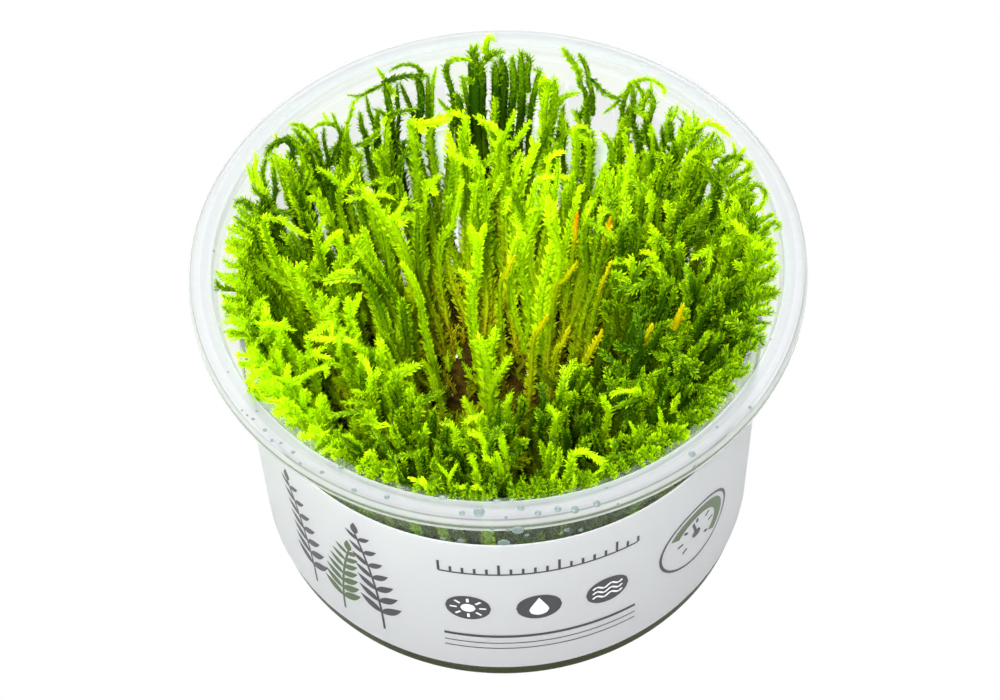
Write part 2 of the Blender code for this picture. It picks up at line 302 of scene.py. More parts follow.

# Shoots that stand out in the photograph, placed one by one: name, height of the tip, tone, size,
# spread of the leaves, whether it branches off another, and picture positions from low end to tip
BACK_SHOOTS = (
    ("left bundle, light tip", 62.5, 0.6, 0.55, 0.6, True, ((388, 92), (384, 79), (377, 68))),
    ("left bundle, arch", 63.0, 0.35, 0.6, 0.7, True,
     ((423, 78), (420, 70), (414, 66), (406, 64), (398, 66), (390, 71))),
    ("left bundle, dark bar", 62.5, 0.1, 0.8, 0.8, True, ((382, 83), (394, 79), (408, 76), (428, 76))),
    ("left bundle, left bar", 62.0, 0.25, 0.55, 0.7, True, ((384, 84), (369, 91), (360, 96), (348, 95))),
    ("left bundle, hanging stem", 61.5, 0.4, 0.55, 0.7, False,
     ((345, 150), (347, 126), (351, 107), (359, 97))),
    ("left bundle, second hanging stem", 61.5, 0.25, 0.55, 0.7, False,
     ((381, 150), (375, 127), (369, 111), (366, 96))),
    ("left bundle, left hook", 61.0, 0.12, 0.6, 0.8, True,
     ((387, 126), (385, 116), (380, 111), (373, 109))),
    ("left bundle, left stem", 62.5, 0.22, 1.0, 0.9, False,
     ((397, 172), (393, 142), (391, 118), (388, 100), (384, 84))),
    ("left bundle, thin stem", 61.5, 0.08, 0.6, 0.8, False,
     ((399, 150), (399, 118), (397, 100), (397, 84))),
    ("left bundle, second stem", 61.5, 0.15, 0.6, 0.8, False,
     ((418, 150), (414, 118), (406, 97), (400, 83))),
    ("left bundle, cross bar", 61.0, 0.12, 0.6, 0.8, True,
     ((384, 118), (394, 114), (405, 111), (417, 108))),
    ("left bundle, thick stem", 62.5, 0.12, 1.2, 0.9, False,
     ((416, 170), (417, 142), (419, 122), (421, 107), (421, 92), (417, 77))),
    ("left bundle, right stem", 62.0, 0.3, 0.75, 0.8, False,
     ((430, 150), (428, 112), (428, 93), (428, 76))),
    ("light stem", 62.5, 0.5, 0.55, 0.7, False, ((434, 160), (432, 129), (432, 106), (433, 83), (436, 67))),
    ("short dark point", 59.5, 0.12, 1.05, 0.8, False, ((467, 150), (463, 122), (460, 106), (457, 94))),
    ("great arch", 64.0, 0.32, 0.8, 0.7, False,
     ((459, 150), (456, 118), (452, 92), (447, 76), (446, 67), (451, 61), (460, 59), (471, 61))),
    ("middle bundle, thick stem", 64.0, 0.05, 1.85, 0.9, False,
     ((478, 155), (476, 122), (475, 87), (473, 50))),
    ("middle bundle, right stem", 63.0, 0.08, 1.35, 0.9, False,
     ((484, 150), (481, 110), (482, 87), (481, 62))),
    ("middle bundle, point", 64.5, 0.35, 0.7, 0.8, True, ((475, 60), (475, 50), (477, 44))),
    ("middle bundle, hook", 62.0, 0.15, 0.7, 0.8, True, ((473, 84), (468, 79), (460, 77))),
    ("tall light hook", 64.5, 0.72, 0.85, 0.6, True,
     ((490, 58), (486, 51), (487, 41), (491, 37), (494, 41))),
    ("dark bridge", 63.5, 0.1, 0.95, 0.8, True, ((482, 64), (487, 58), (495, 53), (503, 52))),
    ("right bundle, first stem", 63.0, 0.1, 1.3, 0.9, False,
     ((496, 155), (495, 126), (496, 90), (495, 62))),
    ("right bundle, second stem", 63.0, 0.05, 1.5, 0.9, False,
     ((502, 150), (502, 110), (504, 80), (501, 58))),
    ("right bundle, third stem", 63.0, 0.25, 1.15, 0.9, False,
     ((510, 150), (512, 106), (514, 87), (512, 57))),
    ("right bundle, fourth stem", 63.5, 0.22, 1.15, 0.8, False,
     ((519, 150), (521, 114), (522, 93), (521, 52))),
    ("right bundle, small arch", 63.0, 0.2, 0.95, 0.8, True, ((528, 92), (527, 73), (530, 61), (525, 54))),
    ("thin stem with a hook", 62.0, 0.25, 0.85, 0.8, False,
     ((528, 160), (530, 116), (534, 95), (538, 78), (540, 72), (534, 69))),
    ("light stem at the right", 61.5, 0.55, 1.0, 0.9, False,
     ((546, 160), (544, 108), (542, 91), (543, 76))),
    ("long light stem", 61.5, 0.5, 1.25, 0.9, False, ((546, 160), (550, 130), (554, 97), (554, 79))),
    ("thin dark stem", 59.0, 0.2, 0.7, 0.7, False, ((556, 160), (560, 129), (562, 116), (564, 106))),
    ("tall pair, left", 64.0, 0.45, 0.85, 0.8, False,
     ((584, 175), (587, 133), (587, 113), (586, 94), (580, 76), (572, 61), (563, 48))),
    ("tall pair, right", 64.0, 0.38, 0.7, 0.8, True,
     ((593, 115), (592, 92), (589, 79), (586, 66), (579, 54))),
    ("hanging bridge", 61.5, 0.35, 0.55, 0.7, True,
     ((591, 79), (600, 89), (610, 96), (619, 98), (628, 88))),
    ("bridge, hook", 60.5, 0.35, 0.55, 0.7, True, ((620, 100), (612, 107), (604, 113))),
    ("cluster, left stem", 62.5, 0.35, 0.75, 0.8, False,
     ((634, 180), (630, 150), (625, 133), (622, 110), (628, 92), (630, 83))),
    ("cluster, second stem", 62.5, 0.25, 0.95, 0.8, False,
     ((640, 180), (637, 136), (633, 125), (634, 112), (634, 98), (631, 84))),
    ("cluster, third stem", 62.0, 0.25, 0.75, 0.8, False,
     ((652, 180), (648, 140), (645, 115), (645, 99), (641, 92), (636, 82))),
    ("cluster, right stem", 62.0, 0.3, 0.85, 0.8, False,
     ((636, 175), (641, 141), (649, 121), (654, 106), (652, 96), (648, 90))),
    ("cluster, short stem", 62.0, 0.65, 0.45, 0.7, True, ((652, 100), (651, 92), (651, 83))),
    ("cluster, left curl", 60.5, 0.55, 0.45, 0.7, True, ((632, 130), (624, 129), (619, 124))),
    ("cluster, dark curl", 60.5, 0.15, 0.45, 0.7, True, ((640, 131), (628, 131), (620, 127), (618, 122))),
    ("cluster, light leg", 60.5, 0.6, 0.7, 0.7, False, ((634, 200), (630, 167), (628, 149), (624, 134))),
    ("cluster, arch", 62.5, 0.6, 0.55, 0.8, True,
     ((629, 84), (637, 81), (645, 79), (655, 81), (661, 85), (665, 89), (664, 95))),
    ("dark mound, first point", 60.5, 0.12, 0.6, 0.8, False, ((670, 170), (664, 145), (662, 126))),
    ("dark mound, second point", 60.0, 0.15, 0.55, 0.8, False, ((658, 175), (657, 150), (654, 135))),
    ("dark mound, left stem", 58.5, 0.1, 1.3, 0.9, False, ((655, 205), (653, 180), (652, 155))),
    ("dark mound, middle stem", 59.0, 0.1, 1.3, 0.9, False, ((668, 205), (665, 180), (664, 150))),
    ("dark mound, right stem", 59.0, 0.12, 1.2, 0.9, False, ((679, 200), (676, 175), (674, 145))),
    ("right back, dark stem", 61.0, 0.12, 0.9, 0.9, False,
     ((676, 170), (672, 138), (670, 124), (671, 109))),
    ("right back, light stem", 61.5, 0.45, 0.75, 0.8, False,
     ((696, 195), (694, 155), (690, 136), (687, 120), (683, 111))),
    ("right back, left point", 61.0, 0.35, 0.45, 0.8, True, ((689, 138), (684, 124), (677, 116))),
    ("right back, point", 61.5, 0.6, 0.6, 0.8, True, ((694, 136), (695, 122), (693, 111))),
    ("right back, dark trunk", 60.5, 0.14, 0.9, 0.9, False,
     ((692, 200), (692, 155), (693, 142), (697, 133), (703, 128))),
    ("right back, arch", 61.0, 0.75, 0.7, 0.7, True,
     ((699, 128), (706, 123), (715, 125), (722, 129), (729, 136))),
    ("right back, lower arm", 60.0, 0.6, 0.55, 0.7, True, ((724, 153), (722, 142), (717, 134))),
    ("right back, dark branch", 59.5, 0.15, 0.6, 0.8, True,
     ((697, 147), (703, 141), (710, 137), (708, 134))),
    ("right back, second branch", 59.0, 0.2, 0.6, 0.8, True, ((702, 150), (708, 145), (714, 147))),
    ("right back, first point", 60.5, 0.6, 0.55, 0.6, True, ((733, 158), (735, 150), (733, 143))),
    ("right back, second point", 60.5, 0.55, 0.5, 0.6, True, ((738, 157), (742, 152), (745, 148))),
    ("right back, small dome", 59.5, 0.15, 0.7, 0.8, True,
     ((708, 165), (712, 158), (718, 154), (722, 158))),
    ("right back, dark arch", 60.0, 0.15, 0.95, 0.9, False,
     ((718, 195), (718, 170), (724, 161), (733, 158), (743, 159))),
    ("right back, hook", 60.0, 0.4, 0.7, 0.8, True, ((735, 182), (744, 173), (751, 166), (745, 161))),
    ("right back, low dome", 59.0, 0.2, 0.8, 0.9, False, ((712, 205), (708, 175), (708, 160), (713, 155))),
    ("right, dark mass", 58.5, 0.12, 1.3, 0.9, False, ((735, 235), (734, 205), (736, 178))),
    ("right, second mass", 59.0, 0.16, 1.2, 0.9, False, ((748, 245), (748, 215), (748, 188))),
    ("right, arch", 60.8, 0.4, 0.55, 0.8, True,
     ((751, 190), (755, 184), (761, 187), (766, 194), (765, 200), (761, 205))),
    ("right, first finger", 61.5, 0.45, 0.6, 0.7, True, ((758, 224), (767, 217), (775, 214))),
    ("right, loop", 62.0, 0.3, 0.65, 0.7, True,
     ((760, 236), (769, 225), (777, 222), (781, 226), (775, 230))),
    ("right, edge mass", 60.8, 0.15, 1.2, 0.9, False, ((762, 270), (764, 248), (768, 232))),
    ("right, spike", 61.5, 0.35, 0.5, 0.6, False, ((764, 278), (768, 262), (774, 252), (779, 243))),
    ("right, low fan", 61.5, 0.4, 0.7, 0.8, False, ((756, 300), (766, 280), (774, 271), (781, 268))),
    ("right, lower edge", 61.8, 0.2, 0.95, 0.8, False, ((762, 330), (772, 308), (779, 292))),
    ("right, lowest edge", 61.0, 0.2, 0.9, 0.8, False, ((758, 345), (767, 328), (773, 312))),
    ("left back, curved tip", 61.5, 0.6, 0.6, 0.6, False,
     ((322, 200), (319, 165), (317, 154), (314, 141), (310, 133), (301, 126), (290, 124))),
    ("left back, arch", 61.5, 0.35, 0.6, 0.7, False,
     ((322, 195), (330, 165), (336, 150), (341, 137), (338, 128), (332, 124), (321, 124), (312, 129))),
    ("left back, point", 61.5, 0.4, 0.55, 0.7, True, ((338, 129), (335, 120), (332, 113))),
    ("left back, second point", 61.5, 0.65, 0.45, 0.6, True, ((327, 125), (325, 118), (323, 113))),
    ("left back, dark stem", 61.0, 0.15, 0.6, 0.8, False, ((330, 190), (328, 159), (324, 142), (324, 128))),
    ("left back, second stem", 62.0, 0.45, 0.7, 0.7, False, ((352, 180), (348, 150), (347, 126))),
    ("left back, third stem", 62.0, 0.18, 0.75, 0.8, False,
     ((370, 165), (366, 137), (362, 128), (360, 112))),
    ("left back, side tip", 61.0, 0.25, 0.6, 0.8, True, ((355, 146), (367, 142), (374, 136), (380, 130))),
    ("left, dark bar", 60.5, 0.15, 0.55, 0.8, True, ((320, 158), (312, 150), (301, 150), (291, 150))),
    ("left, dark dome", 60.5, 0.1, 0.85, 0.9, False,
     ((292, 200), (291, 163), (293, 150), (286, 139), (279, 142), (271, 146), (266, 156))),
    ("left, first stem of the dome", 60.0, 0.14, 0.8, 0.9, False,
     ((268, 225), (266, 191), (262, 176), (267, 157))),
    ("left, second stem of the dome", 60.0, 0.16, 0.75, 0.9, False,
     ((277, 220), (276, 191), (274, 178), (274, 158))),
    ("left, light tip", 60.0, 0.75, 0.85, 0.7, False,
     ((275, 225), (265, 194), (258, 183), (254, 168), (255, 154))),
    ("left, side tip", 60.0, 0.6, 0.65, 0.6, True, ((256, 185), (250, 174), (247, 165))),
    ("left, short point", 60.5, 0.7, 0.55, 0.6, True, ((277, 147), (276, 141), (276, 134))),
    ("left, upper hook", 61.5, 0.2, 0.8, 0.8, False,
     ((262, 240), (256, 222), (252, 211), (247, 204), (239, 200), (235, 206))),
    ("left, thin hook", 62.5, 0.45, 0.5, 0.5, False,
     ((246, 300), (242, 272), (240, 265), (240, 248), (234, 241), (226, 240))),
    ("left, low tip", 62.5, 0.35, 0.6, 0.7, False, ((244, 300), (232, 287), (223, 278), (216, 272))),
    ("left, lowest tip", 62.5, 0.2, 0.75, 0.8, False, ((250, 330), (232, 302), (221, 289), (216, 281))),
    ("left, side finger", 61.5, 0.3, 0.5, 0.6, False, ((262, 345), (245, 334), (234, 332), (224, 332))),
    ("left, dark edge", 60.5, 0.12, 1.2, 0.9, False, ((250, 350), (242, 330), (236, 312), (232, 300))),
)
MIDDLE_SHOOTS = (
    ("hollow feather", 42.0, 1.0, 1.85, 1.1, False, ((490, 402), (489, 380), (486, 360), (479, 338))),
    ("hollow feather, right lobe", 42.0, 1.0, 1.35, 0.9, True, ((489, 372), (491, 350), (496, 329))),
    ("hollow feather, side lobe", 38.0, 1.0, 1.15, 1.0, True, ((491, 392), (500, 372), (511, 357))),
    ("high feather", 59.0, 1.0, 1.15, 0.9, False, ((472, 312), (475, 280), (478, 252), (470, 227))),
    ("high feather, right lobe", 59.5, 1.0, 0.85, 0.7, True, ((477, 262), (480, 243), (485, 225))),
    ("high feather, side lobe", 55.0, 0.95, 0.7, 1.1, True, ((474, 284), (468, 277), (459, 271))),
    ("left club", 54.0, 0.95, 0.95, 0.6, False, ((425, 330), (420, 300), (414, 282), (402, 263))),
    ("left back fan", 60.0, 0.9, 0.8, 0.7, False, ((438, 260), (452, 225), (458, 200), (462, 180))),
    ("hollow club", 44.0, 1.0, 0.95, 0.5, False, ((481, 440), (477, 427), (471, 413), (465, 398))),
    ("hollow broad tip", 42.0, 1.0, 1.15, 0.6, False, ((511, 430), (509, 418), (507, 404), (511, 394))),
    ("low link", 44.0, 0.95, 0.75, 0.7, False,
     ((419, 412), (416, 398), (405, 387), (390, 381), (379, 379))),
    ("low link, hook", 42.0, 0.8, 0.6, 0.6, True, ((411, 385), (410, 373), (404, 364), (397, 366))),
    ("low tip", 42.0, 0.9, 0.65, 0.9, False, ((436, 390), (431, 375), (423, 361))),
    ("left stout tip", 60.0, 1.0, 1.05, 0.5, False,
     ((305, 290), (311, 277), (320, 257), (329, 242), (340, 232))),
    ("left stout tip, twin", 59.0, 1.0, 0.8, 0.5, False, ((341, 280), (341, 262), (341, 246), (340, 231))),
    ("left light club", 60.0, 0.85, 0.7, 0.9, False,
     ((268, 240), (276, 219), (286, 223), (296, 230), (307, 236))),
    ("left thin tip", 59.0, 0.8, 0.65, 0.5, False, ((304, 330), (301, 303), (294, 285), (284, 262))),
    ("left back feather", 61.0, 0.8, 0.9, 0.9, False, ((341, 215), (343, 190), (332, 177), (318, 168))),
    ("left back feather, side", 61.0, 0.9, 0.6, 1.1, True, ((342, 192), (347, 182), (353, 174))),
    ("left arch", 60.0, 0.95, 0.75, 0.9, False,
     ((268, 380), (262, 362), (266, 340), (269, 324), (280, 325), (294, 331))),
    ("left tall tip", 60.0, 0.95, 0.85, 0.9, False, ((258, 400), (257, 370), (265, 345), (268, 315))),
    ("left fan", 60.0, 1.0, 0.9, 0.9, False, ((288, 410), (284, 390), (281, 370), (279, 352))),
    ("left edge tip", 59.5, 0.95, 0.85, 0.7, False, ((256, 370), (248, 345), (244, 332), (236, 330))),
    ("left sickle", 59.0, 0.95, 0.75, 0.5, False,
     ((292, 400), (300, 382), (312, 372), (325, 368), (326, 376))),
    ("left low sickle", 58.5, 0.95, 0.7, 0.6, False, ((252, 390), (264, 399), (282, 404), (299, 408))),
    ("left broad tip", 50.0, 0.9, 1.0, 0.9, False, ((347, 385), (340, 365), (331, 346), (334, 330))),
    ("left broad tip, twin", 50.0, 0.9, 0.8, 0.6, True, ((340, 352), (346, 340), (354, 331))),
    ("left dark tip", 50.0, 0.9, 0.9, 0.8, False, ((372, 398), (374, 378), (368, 360))),
    ("left long link", 48.0, 0.92, 0.7, 0.7, False,
     ((419, 412), (414, 390), (400, 381), (384, 372), (374, 366))),
    ("left comb", 46.0, 0.8, 0.6, 0.9, False, ((386, 350), (383, 338), (375, 321))),
    ("left comb, twin", 46.0, 0.7, 0.6, 0.8, False, ((389, 346), (390, 330), (387, 314))),
    ("dark mass left of the hollow", 52.0, 0.15, 1.2, 1.0, False,
     ((400, 380), (408, 350), (405, 322), (402, 300))),
    ("back cross", 60.5, 0.95, 0.75, 1.0, False, ((483, 180), (470, 164), (458, 156), (444, 149))),
    ("back cross, point", 61.0, 0.9, 0.7, 1.0, False, ((476, 185), (480, 170), (476, 156), (473, 146))),
    ("back fan", 61.0, 0.8, 0.8, 0.9, False, ((500, 165), (503, 142), (509, 126), (515, 112))),
    ("back fan, right", 60.5, 0.85, 0.8, 0.8, False, ((505, 160), (514, 146), (524, 130), (530, 122))),
    ("back curl", 60.0, 0.8, 0.85, 0.7, False,
     ((575, 185), (578, 150), (575, 130), (582, 126), (590, 132))),
    ("right comb", 58.0, 0.85, 0.8, 1.0, False, ((660, 290), (657, 268), (652, 254), (641, 252))),
    ("right point", 59.0, 0.8, 0.75, 1.0, False, ((656, 250), (654, 236), (651, 226))),
    ("right knob", 59.0, 0.8, 0.8, 1.0, False, ((668, 228), (669, 212), (666, 201))),
    ("right upper point", 59.0, 0.9, 0.6, 0.8, False, ((651, 212), (649, 200), (651, 191))),
    ("right edge fan", 58.0, 0.85, 0.9, 1.0, False, ((750, 300), (748, 285), (743, 270), (735, 262))),
    ("right edge tip", 57.0, 0.8, 0.85, 1.0, False, ((744, 345), (746, 326), (749, 305))),
    ("right link", 52.0, 0.9, 0.75, 1.0, False, ((632, 270), (628, 262), (610, 263))),
)
FRONT_SHOOTS = (
    ("middle blob", 56.0, 1.0, 1.05, 0.6, False, ((490, 462), (486, 446), (479, 436), (470, 433))),
    ("middle feather", 57.0, 1.0, 1.0, 0.7, False, ((505, 480), (506, 462), (504, 448), (501, 435))),
    ("middle feather, side", 56.0, 0.95, 0.75, 0.9, True, ((503, 474), (499, 464), (496, 453))),
    ("broad tip", 52.0, 1.0, 1.1, 0.7, False, ((556, 425), (555, 415), (547, 405))),
    ("small hook", 54.0, 0.85, 0.65, 1.1, False, ((456, 445), (455, 432), (450, 424), (442, 424))),
    ("short tip", 54.0, 0.95, 0.8, 0.5, False, ((423, 445), (424, 436), (426, 424))),
    ("rim fork", 59.5, 1.0, 0.7, 0.4, False, ((451, 498), (449, 484), (446, 474), (439, 465))),
    ("rim fork, right", 59.5, 1.0, 0.7, 0.4, True, ((449, 480), (452, 473), (456, 466))),
    ("rim bar", 60.0, 0.95, 0.85, 0.4, False, ((484, 498), (474, 492), (465, 489), (456, 489))),
    ("rim tip", 58.0, 0.9, 0.8, 0.7, False, ((477, 480), (475, 468), (472, 456))),
    ("right fork", 58.0, 0.45, 0.8, 0.7, False, ((551, 480), (547, 462), (540, 442))),
    ("right fork, twin", 58.0, 0.45, 0.75, 0.7, True, ((550, 474), (549, 460), (551, 444))),
    ("right fork, third", 58.0, 0.55, 0.7, 0.8, False, ((553, 478), (559, 464), (559, 449))),
    ("comb arch", 57.0, 0.95, 0.85, 0.9, False,
     ((570, 470), (573, 457), (582, 452), (593, 456), (603, 463), (604, 472))),
    ("rim spread", 60.0, 0.9, 0.8, 0.4, False, ((529, 496), (537, 490), (548, 484), (556, 473))),
    ("rim point", 60.0, 0.9, 0.7, 0.4, False, ((572, 490), (577, 481), (590, 479), (604, 476))),
    ("right blob", 56.0, 0.95, 0.85, 0.6, False, ((618, 466), (616, 453), (611, 440))),
    ("left cross", 56.0, 1.0, 0.85, 0.7, False, ((378, 436), (374, 424), (373, 411))),
    ("left cross, left arm", 56.0, 1.0, 0.65, 0.4, True, ((377, 428), (370, 423), (362, 424))),
    ("left cross, right arm", 56.0, 1.0, 0.65, 0.4, True, ((377, 428), (383, 424), (389, 426))),
    ("left rim tip", 59.0, 0.95, 0.85, 0.4, False, ((338, 462), (334, 448), (331, 437))),
    ("left rim club", 59.0, 0.95, 0.9, 0.4, False, ((346, 468), (344, 455), (341, 444))),
    ("left rim hook", 59.0, 0.85, 0.7, 0.6, False, ((357, 462), (356, 447), (350, 436), (342, 438))),
    ("left rim curl", 58.0, 0.8, 0.75, 0.8, False, ((372, 478), (374, 464), (372, 452), (366, 456))),
    ("left bar", 60.0, 0.95, 0.8, 0.4, False, ((400, 486), (395, 477), (384, 471))),
    ("left low bar", 60.0, 0.9, 0.7, 0.4, False, ((430, 492), (419, 487), (407, 485))),
    ("left knob", 59.0, 0.9, 0.75, 0.5, False, ((300, 440), (304, 425), (312, 412))),
    ("right tuft", 55.0, 0.95, 0.8, 0.9, False, ((609, 415), (606, 406), (603, 397))),
    ("right tuft, comb", 54.0, 0.9, 0.85, 1.0, False, ((640, 400), (632, 392), (618, 392), (611, 396))),
    ("right tuft, tip", 55.0, 0.85, 0.8, 1.0, False, ((652, 400), (648, 392), (645, 384))),
    ("right rim club", 58.0, 0.95, 0.8, 0.4, False, ((664, 440), (662, 424), (659, 408))),
    ("right rim tip", 58.5, 0.9, 0.8, 0.5, False, ((643, 466), (648, 447), (655, 434))),
    ("right rim point", 58.5, 0.9, 0.75, 0.4, False, ((643, 450), (637, 437), (630, 423))),
    ("right club", 57.0, 0.85, 0.8, 0.6, False, ((670, 420), (674, 407), (679, 395))),
    ("right dark tip", 58.0, 0.6, 0.75, 0.6, False, ((722, 396), (720, 383), (721, 371))),
    ("right dark fork", 58.5, 0.65, 0.75, 0.6, False, ((702, 422), (706, 413), (714, 409))),
    ("right dark bar", 58.5, 0.65, 0.8, 0.5, False, ((707, 424), (696, 419), (686, 418))),
    ("right dark fan", 59.0, 0.7, 0.8, 0.5, False, ((664, 446), (674, 434), (690, 428))),
    ("hollow edge comb", 44.0, 0.7, 0.8, 1.1, False, ((562, 412), (562, 400), (558, 390))),
    ("middle small tip", 58.0, 0.9, 0.7, 0.6, False, ((496, 470), (488, 460), (484, 448))),
    ("left mat, long stem", 61.0, 1.0, 0.95, 0.8, False,
     ((250, 384), (258, 375), (262, 359), (264, 343), (263, 325))),
    ("left mat, right stem", 60.0, 1.0, 1.05, 0.8, False,
     ((258, 374), (265, 365), (271, 355), (278, 346), (280, 335))),
    ("left mat, leg", 58.0, 1.0, 0.9, 0.8, False, ((288, 385), (284, 373), (280, 363), (276, 354))),
    ("left mat, side fan", 61.0, 1.0, 0.85, 1.0, True, ((262, 360), (256, 354), (249, 349))),
    ("left mat, rim finger", 61.5, 0.9, 0.75, 0.6, True, ((262, 369), (254, 378), (245, 382))),
    ("left mat, cross arm", 58.0, 1.0, 1.0, 0.8, True, ((274, 377), (288, 381), (302, 377))),
    ("left mat, thin stem", 54.0, 0.85, 0.6, 0.8, False, ((302, 385), (301, 369), (300, 352))),
    ("left mat, second thin stem", 54.0, 0.9, 0.75, 0.8, False, ((309, 372), (311, 356), (307, 341))),
    ("left low stem", 58.0, 0.95, 0.85, 0.8, False, ((319, 432), (321, 418), (319, 404))),
    ("left rim arm", 60.5, 0.95, 0.9, 0.6, False, ((318, 429), (298, 422), (284, 418), (275, 409))),
)
# Spears seen against the light, their golden tips painted glow of light shining through them: name, height of
# the tip, tone, how golden at the tip, size, how far down the gold reaches, and picture positions from low
# end to tip
GOLD_SHOOTS = (
    ("right spear", 56.0, 0.6, 0.6, 1.2, 18.0,
     ((652, 388), (660, 368), (668, 347), (676, 326), (683, 307))),
    ("long spear", 46.0, 0.55, 0.55, 0.85, 14.0, ((572, 392), (582, 370), (592, 350), (602, 331))),
    ("centre spear", 44.0, 0.55, 0.55, 0.8, 10.0, ((533, 345), (538, 332), (547, 315))),
    ("centre spear, right", 44.0, 0.55, 0.5, 0.7, 10.0, ((556, 356), (563, 343), (569, 328))),
    ("high spear", 50.0, 0.55, 0.5, 0.75, 10.0, ((555, 296), (565, 280), (577, 262))),
    ("left streak", 40.0, 0.5, 0.45, 0.8, 14.0, ((428, 330), (430, 300), (425, 270), (418, 240))),
    ("orange streak", 56.0, 0.55, 1.0, 0.6, 9.0, ((573, 255), (575, 240), (577, 213))),
    ("second orange streak", 56.0, 0.55, 0.95, 0.5, 7.0, ((605, 238), (608, 228), (611, 218))),
    ("thin gold tip", 54.0, 0.55, 0.6, 0.5, 10.0, ((597, 305), (602, 285), (611, 262))),
    ("back gold tip", 52.0, 0.6, 0.5, 0.75, 10.0, ((500, 292), (506, 275), (514, 256))),
    ("right back spear", 55.0, 0.6, 0.55, 0.85, 16.0, ((612, 400), (624, 378), (640, 350), (652, 325))),
)


# Meshes and nodes

def finished(name, mesh, slot, *nodes):
    """Link a mesh as a piece that rides on the part and stands for the given nodes."""
    piece = bpy.data.objects.new(name, mesh)
    bpy.context.scene.collection.objects.link(piece)
    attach(piece, "root")
    if nodes:
        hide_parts(*nodes)
    return piece


def add_node(tree, kind, inputs=None, **settings):
    """Add a node, set its properties, and link or set its inputs by name or number."""
    node = tree.nodes.new(kind)
    for key, value in settings.items():
        setattr(node, key, value)
    for key, value in (inputs or {}).items():
        if isinstance(value, bpy.types.NodeSocket):
            tree.links.new(value, node.inputs[key])
        else:
            node.inputs[key].default_value = value
    return node


def math_node(tree, operation, *values, clamp=False):
    """The result of a math node on numbers or sockets."""
    inputs = dict(enumerate(values))
    return add_node(tree, "ShaderNodeMath", inputs, operation=operation, use_clamp=clamp).outputs[0]


def surfaced(material, tree, output, shader):
    """The material, with a shader joined to its output."""
    tree.links.new(shader.outputs[0], output.inputs["Surface"])
    return material


def new_material(name):
    """An empty material with an output node."""
    material = bpy.data.materials.new(name)
    material.use_nodes = True
    tree = material.node_tree
    tree.nodes.clear()
    output = tree.nodes.new("ShaderNodeOutputMaterial")
    return material, tree, output


def noise(tree, place, scale, detail=2.0):
    """A noise texture's value at a place."""
    inputs = {"Vector": place, "Scale": scale, "Detail": detail}
    return add_node(tree, "ShaderNodeTexNoise", inputs).outputs[0]


def mix_color(tree, factor, first, second):
    node = add_node(tree, "ShaderNodeMix", {"Factor": factor}, data_type="RGBA")
    for index, value in ((6, first), (7, second)):
        if isinstance(value, bpy.types.NodeSocket):
            tree.links.new(value, node.inputs[index])
        else:
            node.inputs[index].default_value = (*value, 1.0)
    return node.outputs[2]


def color_ramp(tree, factor, *stops):
    """A colour ramp from (position, colour) stops."""
    node = add_node(tree, "ShaderNodeValToRGB", {0: factor})
    elements = node.color_ramp.elements
    while len(elements) < len(stops):
        elements.new(1.0)
    for element, (position, color) in zip(elements, stops):
        element.position = position
        element.color = (*color, 1.0)
    return node.outputs[0]


def turned_mesh(name, profile, segments):
    """Turn a profile, which starts and ends on the axis, into a closed mesh."""
    builder = bmesh.new()
    rings = []
    for radius, height in profile:
        if radius < 1e-6:
            rings.append([builder.verts.new((0.0, 0.0, height * MM))])
            continue
        ring = []
        for step in range(segments):
            angle = 2.0 * math.pi * step / segments
            place = (radius * math.cos(angle) * MM, radius * math.sin(angle) * MM, height * MM)
            ring.append(builder.verts.new(place))
        rings.append(ring)
    for lower, upper in zip(rings, rings[1:]):
        for step in range(segments):
            following = (step + 1) % segments
            if len(lower) == 1:
                builder.faces.new((lower[0], upper[following], upper[step]))
            elif len(upper) == 1:
                builder.faces.new((lower[step], lower[following], upper[0]))
            else:
                builder.faces.new((lower[step], lower[following], upper[following], upper[step]))
    bmesh.ops.recalc_face_normals(builder, faces=builder.faces)
    mesh = bpy.data.meshes.new(name)
    builder.to_mesh(mesh)
    builder.free()
    mesh.shade_smooth()
    return mesh


def softened(profile, share, rounds):
    """Round a profile's corners by cutting them again and again; its ends stay on the axis."""
    for _ in range(rounds):
        cut = [profile[0]]
        for (r0, z0), (r1, z1) in zip(profile, profile[1:]):
            length = math.hypot(r1 - r0, z1 - z0)
            part = min(share, 0.6 / length) if length else share
            cut.append((r0 + (r1 - r0) * part, z0 + (z1 - z0) * part))
            cut.append((r1 + (r0 - r1) * part, z1 + (z0 - z1) * part))
        cut.append(profile[-1])
        profile = cut
    return profile


# Camera

def camera_axes():
    """Where the camera stands, and its right, up and forward directions."""
    elevation = math.radians(CAMERA_ELEVATION)
    roll = math.radians(CAMERA_ROLL)
    forward = Vector((0.0, math.cos(elevation), -math.sin(elevation)))
    level_right = Vector((1.0, 0.0, 0.0))
    level_up = level_right.cross(forward)
    right = math.cos(roll) * level_right + math.sin(roll) * level_up
    up = math.cos(roll) * level_up - math.sin(roll) * level_right
    aim = Vector((0.0, 0.0, RIM_PLANE_Z)) + right * AIM_RIGHT + up * AIM_UP
    return aim - forward * CAMERA_DISTANCE, right, up, forward


def sight_line(column, row):
    """Start and direction of the line of sight through a picture position."""
    place, right, up, forward = camera_axes()
    reach = CAMERA_LENS / SENSOR_WIDTH * PICTURE_WIDTH
    toward = forward * reach + right * (column - PICTURE_WIDTH / 2.0) + up * (PICTURE_HEIGHT / 2.0 - row)
    return place, toward


def seen_at_level(column, row, level):
    place, toward = sight_line(column, row)
    return place + toward * ((level - place.z) / toward.z)


def seen_at_depth(column, row, depth):
    place, toward = sight_line(column, row)
    return place + toward * ((depth - place.y) / toward.y)


